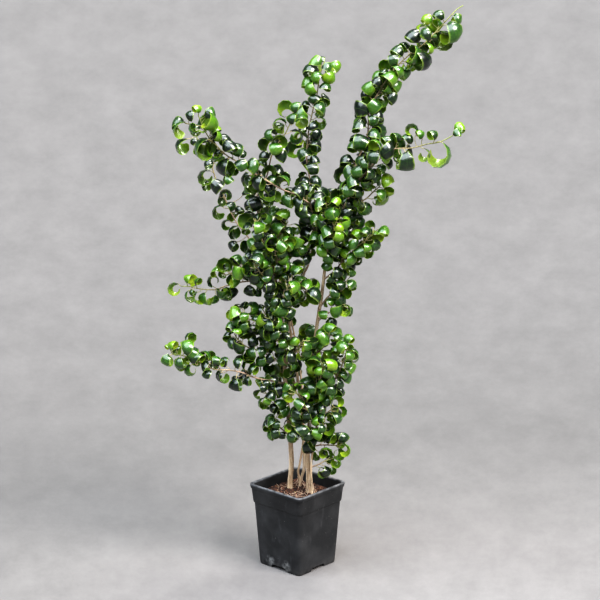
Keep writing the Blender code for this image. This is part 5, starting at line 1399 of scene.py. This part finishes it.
def make_threads(finish, stems):
    """Thin pale roots that lie across the soil, and thicker ones that come down from the stems."""
    chance = random.Random(SEED)
    curves = bpy.data.curves.new("root_threads", "CURVE")
    curves.dimensions = "3D"
    curves.bevel_depth = 0.00022
    curves.bevel_resolution = 1
    curves.resolution_u = 6
    curves.use_fill_caps = True
    for name in ("stem_right", "stem_middle", "stem_middle", "stem_thin", "stem_back"):
        axis = [p for p in finely(stems[name].path) if p.z > SOIL_EDGE + 0.008]
        for _ in range(AERIAL_ROOTS):
            top = axis[chance.randint(0, 5)]
            heading = chance.uniform(0, math.tau)
            out = Vector((math.cos(heading), math.sin(heading), 0))
            reach = chance.uniform(0.006, 0.014)
            line = curves.splines.new("NURBS")
            line.use_endpoint_u = True
            line.points.add(4)
            for k in range(5):
                share = k / 4
                place = top + out * (0.001 + reach * share ** 1.6)
                place += out.cross(UP) * chance.uniform(-0.0012, 0.0012)
                foot = soil_height(place.x, place.y) - 0.002
                place.z = top.z + (foot - top.z) * share
                line.points[k].co = (*place, 1)
                line.points[k].radius = 2.4 - 0.9 * share
    for _ in range(ROOT_THREADS):
        place = Vector((chance.uniform(-0.028, 0.030), chance.uniform(-0.030, 0.030), 0))
        heading = chance.uniform(0, math.tau)
        line = curves.splines.new("NURBS")
        line.use_endpoint_u = True
        count = chance.randint(5, 9)
        line.points.add(count - 1)
        for k in range(count):
            height = soil_height(place.x, place.y) + chance.uniform(0.0002, 0.0016)
            line.points[k].co = (place.x, place.y, height, 1)
            heading += chance.uniform(-0.8, 0.8)
            place += Vector((math.cos(heading), math.sin(heading), 0)) * 0.0026
    drawn = bpy.data.objects.new("root_threads", curves)
    bpy.context.scene.collection.objects.link(drawn)
    mesh = bpy.data.meshes.new_from_object(
        drawn.evaluated_get(bpy.context.evaluated_depsgraph_get()))
    bpy.data.objects.remove(drawn)
    mesh.materials.clear()
    mesh.materials.append(finish)
    return as_piece("root_threads", mesh, None)


# Finishes

def new_finish(name):
    """A material with its Principled shader and short ways to add nodes and links."""
    made = bpy.data.materials.new(name)
    made.use_nodes = True
    shader = made.node_tree.nodes["Principled BSDF"]
    add, join = nodes_of(made.node_tree)
    return made, shader, add, join


def ramp(add, stops):
    """A colour ramp with the given places and colours."""
    node = add("ShaderNodeValToRGB")
    elements = node.color_ramp.elements
    while len(elements) < len(stops):
        elements.new(0.5)
    for element, (place, colour) in zip(elements, stops):
        element.position = place
        element.color = (*colour, 1)
    return node


def blend(add, join, share, first, second):
    """Mixes two colours, each a socket or a plain colour, by a share."""
    node = add("ShaderNodeMix", data_type="RGBA")
    for value, socket in ((share, node.inputs[0]), (first, node.inputs[6]),
                          (second, node.inputs[7])):
        if isinstance(value, bpy.types.NodeSocket):
            join(value, socket)
        else:
            socket.default_value = (*value, 1) if isinstance(value, tuple) else value
    return node.outputs[2]


def number(add, join, operation, first, second, clamp=False):
    """A sum of two numbers, each a socket or a plain value."""
    node = add("ShaderNodeMath", operation=operation, use_clamp=clamp)
    for value, socket in zip((first, second), node.inputs):
        if isinstance(value, bpy.types.NodeSocket):
            join(value, socket)
        else:
            socket.default_value = value
    return node.outputs[0]


def grain(add, join, scale, detail=3.0, stretch=(1, 1, 1)):
    """Noise over the plant's own coordinates."""
    place = add("ShaderNodeTexCoord")
    mapping = add("ShaderNodeMapping")
    mapping.inputs["Scale"].default_value = stretch
    join(place.outputs["Object"], mapping.inputs["Vector"])
    node = add("ShaderNodeTexNoise")
    node.inputs["Scale"].default_value = scale
    node.inputs["Detail"].default_value = detail
    join(mapping.outputs["Vector"], node.inputs["Vector"])
    return node.outputs["Fac"]


def leaf_finish():
    """Glossy dark green outside, duller and paler inside, with a pale midrib, and a painted glow of
    light through the blade towards its tip and along its rim.
    """
    made, shader, add, join = new_finish("leaf_skin")
    tone = add("ShaderNodeAttribute", attribute_name="tone").outputs["Fac"]
    inner = add("ShaderNodeAttribute", attribute_name="inner").outputs["Fac"]
    place = add("ShaderNodeUVMap", uv_map="UVMap")
    parts = add("ShaderNodeSeparateXYZ")
    join(place.outputs["UV"], parts.inputs["Vector"])
    off_middle = number(add, join, "ABSOLUTE",
                        number(add, join, "SUBTRACT", parts.outputs["X"], 0.5), 0)
    mottled = number(add, join, "MULTIPLY_ADD", grain(add, join, 260), 0.30)
    mottled.node.inputs[2].default_value = -0.15
    # Painted glow: the blade grows paler towards its tip, standing in for light that shines through
    # the curled leaf.
    tipward_glow = number(add, join, "MULTIPLY_ADD", parts.outputs["Y"], 0.62)
    tipward_glow.node.inputs[2].default_value = -0.28
    # The leaf's own age and mottling, with the painted glow towards the tip added on.
    age_and_glow = number(add, join, "ADD", number(add, join, "ADD", tone, mottled), tipward_glow, clamp=True)
    outside = ramp(add, [(0.0, (0.002, 0.008, 0.003)), (0.22, (0.007, 0.024, 0.005)),
                         (0.42, (0.032, 0.096, 0.009)), (0.65, (0.100, 0.210, 0.010)),
                         (1.0, (0.250, 0.360, 0.010))])
    join(age_and_glow, outside.inputs["Fac"])
    inside = ramp(add, [(0.0, (0.014, 0.034, 0.005)), (0.5, (0.090, 0.160, 0.012)),
                        (1.0, (0.320, 0.410, 0.030))])
    join(age_and_glow, inside.inputs["Fac"])
    colour = blend(add, join, inner, outside.outputs["Color"], inside.outputs["Color"])
    rib = number(add, join, "LESS_THAN", off_middle, 0.014)
    rib = number(add, join, "MULTIPLY", rib, 0.35)
    colour = blend(add, join, rib, colour, (0.07, 0.15, 0.02))
    # Painted glow along the rim: the edges are paler, standing in for light that shines through the
    # thin margin of the blade.
    rim = add("ShaderNodeMapRange")
    rim.inputs["From Min"].default_value = 0.39
    rim.inputs["From Max"].default_value = 0.50
    rim.inputs["To Max"].default_value = 0.5
    join(off_middle, rim.inputs["Value"])
    colour = blend(add, join, rim.outputs["Result"], colour, (0.30, 0.42, 0.060))
    join(colour, shader.inputs["Base Color"])
    rough = add("ShaderNodeMapRange")
    rough.inputs["To Min"].default_value = 0.36
    rough.inputs["To Max"].default_value = 0.50
    join(inner, rough.inputs["Value"])
    join(rough.outputs["Result"], shader.inputs["Roughness"])
    shader.inputs["Subsurface Weight"].default_value = 0.2
    shader.inputs["Subsurface Scale"].default_value = 0.002
    shader.inputs["Subsurface Radius"].default_value = (0.6, 1.0, 0.1)
    shader.inputs["Specular IOR Level"].default_value = 0.25
    shader.inputs["Coat Weight"].default_value = 1
    shader.inputs["Coat Roughness"].default_value = 0.24
    shader.inputs["Coat IOR"].default_value = 1.6
    slant = number(add, join, "MULTIPLY", off_middle, 34.0)
    veins = number(add, join, "SINE",
                   number(add, join, "ADD", number(add, join, "MULTIPLY", parts.outputs["Y"], 75.0),
                          slant), 0)
    bump = add("ShaderNodeBump")
    bump.inputs["Strength"].default_value = 0.12
    bump.inputs["Distance"].default_value = 0.0002
    join(veins, bump.inputs["Height"])
    join(bump.outputs["Normal"], shader.inputs["Normal"])
    return made


def twig_finish():
    """Pinkish tan bark that turns green towards the young tip."""
    made, shader, add, join = new_finish("twig_bark")
    age = add("ShaderNodeAttribute", attribute_name="age").outputs["Fac"]
    shade = ramp(add, [(0.0, (0.62, 0.46, 0.34)), (0.45, (0.66, 0.48, 0.36)),
                       (0.75, (0.52, 0.46, 0.22)), (1.0, (0.34, 0.46, 0.10))])
    join(age, shade.inputs["Fac"])
    colour = blend(add, join, grain(add, join, 900), shade.outputs["Color"], (0.14, 0.09, 0.06))
    colour.node.inputs[0].default_value = 0.3
    join(colour, shader.inputs["Base Color"])
    shader.inputs["Roughness"].default_value = 0.6
    return made


def bark_finish():
    """Tan bark with paler streaks and small corky dots."""
    made, shader, add, join = new_finish("stem_bark")
    streaks = grain(add, join, 120, 5, (3, 3, 0.35))
    shade = ramp(add, [(0.25, (0.26, 0.165, 0.10)), (0.5, (0.50, 0.36, 0.235)),
                       (0.72, (0.68, 0.55, 0.41))])
    join(streaks, shade.inputs["Fac"])
    dots = ramp(add, [(0.62, (0, 0, 0)), (0.68, (1, 1, 1))])
    join(grain(add, join, 620, 2, (1, 1, 2.2)), dots.inputs["Fac"])
    colour = blend(add, join, dots.outputs["Color"], shade.outputs["Color"], (0.66, 0.56, 0.43))
    join(colour, shader.inputs["Base Color"])
    shader.inputs["Roughness"].default_value = 0.72
    bump = add("ShaderNodeBump")
    bump.inputs["Strength"].default_value = 0.5
    bump.inputs["Distance"].default_value = 0.0004
    join(grain(add, join, 500, 4), bump.inputs["Height"])
    join(bump.outputs["Normal"], shader.inputs["Normal"])
    return made


def soil_finish():
    """Dark brown peat with finer pale grains."""
    made, shader, add, join = new_finish("peat")
    shade = ramp(add, [(0.3, (0.012, 0.006, 0.004)), (0.55, (0.040, 0.018, 0.012)),
                       (0.72, (0.10, 0.045, 0.028)), (0.85, (0.22, 0.12, 0.08))])
    join(grain(add, join, 420, 6), shade.inputs["Fac"])
    join(shade.outputs["Color"], shader.inputs["Base Color"])
    shader.inputs["Roughness"].default_value = 0.95
    bump = add("ShaderNodeBump")
    bump.inputs["Strength"].default_value = 0.8
    bump.inputs["Distance"].default_value = 0.0012
    join(grain(add, join, 700, 6), bump.inputs["Height"])
    join(bump.outputs["Normal"], shader.inputs["Normal"])
    return made


def litter_finish(name, stops):
    """A dull finish whose colour follows each crumb's own tint."""
    made, shader, add, join = new_finish(name)
    tint = add("ShaderNodeAttribute", attribute_name="tint").outputs["Fac"]
    shade = ramp(add, stops)
    join(tint, shade.inputs["Fac"])
    join(shade.outputs["Color"], shader.inputs["Base Color"])
    shader.inputs["Roughness"].default_value = 0.9
    return made


def pot_finish():
    """Satin black plastic: dusty, speckled, limy round one notch and pale along the top of its rim,
    partly from scuffs and partly as a painted highlight.
    """
    made, shader, add, join = new_finish("pot_plastic")
    place = add("ShaderNodeTexCoord").outputs["Object"]
    parts = add("ShaderNodeSeparateXYZ")
    join(place, parts.inputs["Vector"])
    dust = ramp(add, [(0.42, (0.0, 0.0, 0.0)), (0.80, (1, 1, 1))])
    join(grain(add, join, 34, 7), dust.inputs["Fac"])
    colour = blend(add, join, dust.outputs["Color"], (0.0125, 0.0128, 0.0140),
                   (0.038, 0.038, 0.040))

    scrapes = ramp(add, [(0.60, (0, 0, 0)), (0.74, (1, 1, 1))])
    join(grain(add, join, 95, 8, (1, 1, 0.35)), scrapes.inputs["Fac"])
    share = number(add, join, "MULTIPLY", scrapes.outputs["Color"], 0.5)
    colour = blend(add, join, share, colour, (0.062, 0.062, 0.066))

    specks = ramp(add, [(0.0, (1, 1, 1)), (0.075, (1, 1, 1)), (0.10, (0, 0, 0))])
    cells = add("ShaderNodeTexVoronoi")
    cells.inputs["Scale"].default_value = 210
    join(place, cells.inputs["Vector"])
    join(cells.outputs["Distance"], specks.inputs["Fac"])
    sparse = number(add, join, "GREATER_THAN", grain(add, join, 80, 2), 0.56)
    share = number(add, join, "MULTIPLY", specks.outputs["Color"], sparse)
    share = number(add, join, "MULTIPLY", share, 0.7)
    colour = blend(add, join, share, colour, (0.20, 0.20, 0.19))

    blotches = ramp(add, [(0.38, (0, 0, 0)), (0.60, (1, 1, 1))])
    join(grain(add, join, 210, 8), blotches.inputs["Fac"])
    for lime_place in LIME_PLACES:
        away = add("ShaderNodeVectorMath", operation="DISTANCE")
        join(place, away.inputs[0])
        away.inputs[1].default_value = lime_place
        near = add("ShaderNodeMapRange")
        near.inputs["From Min"].default_value = 0.010
        near.inputs["From Max"].default_value = 0.002
        join(away.outputs["Value"], near.inputs["Value"])
        share = number(add, join, "MULTIPLY", near.outputs["Result"], blotches.outputs["Color"])
        colour = blend(add, join, number(add, join, "MULTIPLY", share, 0.9), colour,
                       (0.22, 0.22, 0.22))

    low = add("ShaderNodeMapRange")
    low.inputs["From Min"].default_value = 0.012
    low.inputs["From Max"].default_value = 0.0
    join(parts.outputs["Z"], low.inputs["Value"])
    share = number(add, join, "MULTIPLY", low.outputs["Result"],
                   number(add, join, "MULTIPLY", blotches.outputs["Color"], 0.4))
    colour = blend(add, join, share, colour, (0.09, 0.085, 0.08))

    # Paler top of the rim: partly scuffed wear, partly a painted highlight along the lip.
    top = add("ShaderNodeMapRange")
    top.inputs["From Min"].default_value = POT_HEIGHT - 0.0024
    top.inputs["From Max"].default_value = POT_HEIGHT - 0.0008
    join(parts.outputs["Z"], top.inputs["Value"])
    wear_and_highlight = ramp(add, [(0.36, (0.15, 0.15, 0.15)), (0.62, (1, 1, 1))])
    join(grain(add, join, 120, 6), wear_and_highlight.inputs["Fac"])
    share = number(add, join, "MULTIPLY", top.outputs["Result"], wear_and_highlight.outputs["Color"])
    colour = blend(add, join, number(add, join, "MULTIPLY", share, 0.8), colour,
                   (0.15, 0.15, 0.16))
    join(colour, shader.inputs["Base Color"])

    rough = add("ShaderNodeMapRange")
    rough.inputs["To Min"].default_value = 0.40
    rough.inputs["To Max"].default_value = 0.62
    join(grain(add, join, 60, 5), rough.inputs["Value"])
    join(rough.outputs["Result"], shader.inputs["Roughness"])
    bump = add("ShaderNodeBump")
    bump.inputs["Strength"].default_value = 0.25
    bump.inputs["Distance"].default_value = 0.0003
    join(grain(add, join, 1100, 3), bump.inputs["Height"])
    join(bump.outputs["Normal"], shader.inputs["Normal"])
    return made


# Stage

def make_floor():
    """A plain pale floor with a painted pool of light in front of the pot, and faint clouds."""
    bpy.ops.mesh.primitive_plane_add(size=FLOOR_SIZE)
    floor = bpy.context.object
    floor.name = "floor"
    made, shader, add, join = new_finish("floor_paint")
    parts = add("ShaderNodeSeparateXYZ")
    place = add("ShaderNodeTexCoord").outputs["Object"]
    join(place, parts.inputs["Vector"])
    # Painted pool of light: the floor is paler near LIGHT_POOL and darker further off.
    from_light = add("ShaderNodeVectorMath", operation="DISTANCE")
    join(place, from_light.inputs[0])
    from_light.inputs[1].default_value = LIGHT_POOL
    shade = ramp(add, [(0.14, (0.158, 0.148, 0.146)), (0.23, (0.147, 0.137, 0.135)),
                       (0.32, (0.129, 0.121, 0.119)), (0.47, (0.105, 0.0985, 0.0970)),
                       (1.0, (0.111, 0.1040, 0.1030))])
    join(number(add, join, "DIVIDE", from_light.outputs["Value"], 2), shade.inputs["Fac"])
    away = number(add, join, "MAXIMUM",
                  number(add, join, "SUBTRACT", parts.outputs["Y"], VIEWPOINT.y), CLOUD_NEAREST)
    spot = add("ShaderNodeCombineXYZ")
    sideways = number(add, join, "DIVIDE", parts.outputs["X"], away)
    join(number(add, join, "MULTIPLY", sideways, 0.7), spot.inputs["X"])
    join(number(add, join, "DIVIDE", VIEWPOINT.z, away), spot.inputs["Y"])
    cloud = add("ShaderNodeTexNoise")
    cloud.inputs["Scale"].default_value = 60
    cloud.inputs["Detail"].default_value = 9
    cloud.inputs["Roughness"].default_value = 0.78
    join(spot.outputs["Vector"], cloud.inputs["Vector"])
    clouds = ramp(add, [(0.34, (0.88, 0.88, 0.88)), (0.66, (1.10, 1.10, 1.10))])
    join(cloud.outputs["Fac"], clouds.inputs["Fac"])
    cloudy = add("ShaderNodeMapRange")
    cloudy.inputs["From Min"].default_value = CLOUDS_FROM
    cloudy.inputs["From Max"].default_value = CLOUDS_FROM + 0.3
    join(parts.outputs["Y"], cloudy.inputs["Value"])
    tone = add("ShaderNodeMix", data_type="RGBA", blend_type="MULTIPLY")
    join(cloudy.outputs["Result"], tone.inputs[0])
    join(shade.outputs["Color"], tone.inputs[6])
    join(clouds.outputs["Color"], tone.inputs[7])
    join(tone.outputs[2], shader.inputs["Base Color"])
    shader.inputs["Roughness"].default_value = 0.9
    floor.data.materials.append(made)


def make_sun(name, heading, height, spread, strength, colour):
    """Soft even light from a heading round the plant and a height above the floor, in degrees."""
    data = bpy.data.lights.new(name, "SUN")
    data.angle = math.radians(spread)
    data.energy = strength
    data.color = colour
    lamp = bpy.data.objects.new(name, data)
    round_z, lift = math.radians(heading), math.radians(height)
    source = Vector((math.cos(lift) * math.sin(round_z), -math.cos(lift) * math.cos(round_z),
                     math.sin(lift)))
    lamp.rotation_euler = source.to_track_quat("Z", "Y").to_euler()
    bpy.context.scene.collection.objects.link(lamp)


def make_sky():
    """Weak even light from all round, behind a plain backdrop as pale as the far floor."""
    world = bpy.data.worlds.new("studio")
    world.use_nodes = True
    add, join = nodes_of(world.node_tree)
    light = world.node_tree.nodes["Background"]
    light.inputs["Color"].default_value = (0.92, 0.95, 1.0, 1)
    light.inputs["Strength"].default_value = 0.2
    backdrop = add("ShaderNodeBackground", Color=(*BACKDROP, 1))
    either = add("ShaderNodeMixShader")
    join(add("ShaderNodeLightPath").outputs["Is Camera Ray"], either.inputs[0])
    join(light.outputs["Background"], either.inputs[1])
    join(backdrop.outputs["Background"], either.inputs[2])
    join(either.outputs["Shader"], world.node_tree.nodes["World Output"].inputs["Surface"])
    return world


def make_stage():
    """Floor, lights, sky and camera."""
    make_floor()
    make_sun("key", -38, 60, 72, 5.6, (0.84, 0.93, 1.0))
    make_sun("fill", 50, 46, 34, 5.0, (1.0, 0.98, 0.95))
    make_sun("back", 150, 70, 24, 1.8, (1.0, 1.0, 0.93))
    bpy.context.scene.world = make_sky()
    bpy.context.scene.view_settings.view_transform = "Standard"
    bpy.context.scene.view_settings.look = "High Contrast"
    data = bpy.data.cameras.new("camera")
    data.lens = FOCAL_LENGTH
    data.sensor_width = SENSOR
    camera = bpy.data.objects.new("camera", data)
    camera.location = VIEWPOINT
    camera.rotation_euler = (math.pi / 2 - CAMERA_PITCH, 0, 0)
    bpy.context.scene.collection.objects.link(camera)
    bpy.context.scene.camera = camera


def main():
    """Builds every piece round the frame, and the stage."""
    make_stage()
    finishes = {"leaf": leaf_finish(), "twig": twig_finish()}
    make_pot(pot_finish())
    make_soil(soil_finish())
    peat = litter_finish("peat_crumb", [(0.0, (0.010, 0.005, 0.004)), (0.6, (0.045, 0.020, 0.013)),
                                        (1.0, (0.13, 0.055, 0.032))])
    wood = litter_finish("wood_chip", [(0.0, (0.08, 0.030, 0.016)), (0.6, (0.22, 0.10, 0.055)),
                                       (0.85, (0.40, 0.24, 0.12)), (1.0, (0.70, 0.55, 0.26))])
    make_litter("peat_crumbs", [((1, 1, 0.8), 0.8), ((1.4, 0.8, 0.6), 0.9), ((0.9, 1.2, 0.7), 0.7)],
                peat, 150000, (0.0010, 0.0034), SEED)
    make_litter("wood_chips", [((1.6, 0.35, 0.25), 0.5), ((1.2, 0.6, 0.25), 0.6),
                               ((2.0, 0.22, 0.2), 0.4)],
                wood, 9000, (0.0015, 0.0052), SEED + 1)
    stems = {stem.name: grown_stem(stem) for stem in STEMS}
    make_threads(litter_finish("root_skin", [(0.0, (0.46, 0.33, 0.24)), (1.0, (0.6, 0.5, 0.36))]),
                 stems)
    bark = bark_finish()
    for wood in stems.values():
        make_stem(wood, bark)
    twigs = []
    for spray in SPRAYS:
        twigs.append(grown_twig(spray, stems, twigs))
    leaves = grown_leaves(stems, twigs)
    shapes = bpy.data.collections.new("leaf_shapes")
    for k, form in enumerate(leaf_forms()):
        make_blade(f"blade_{k}", form, shapes)
    tree = spray_tree()
    for twig in twigs:
        make_spray(twig, leaves[twig.spray.name], tree, shapes, finishes)
    print("leaves", sum(len(group) for group in leaves.values()))


main()
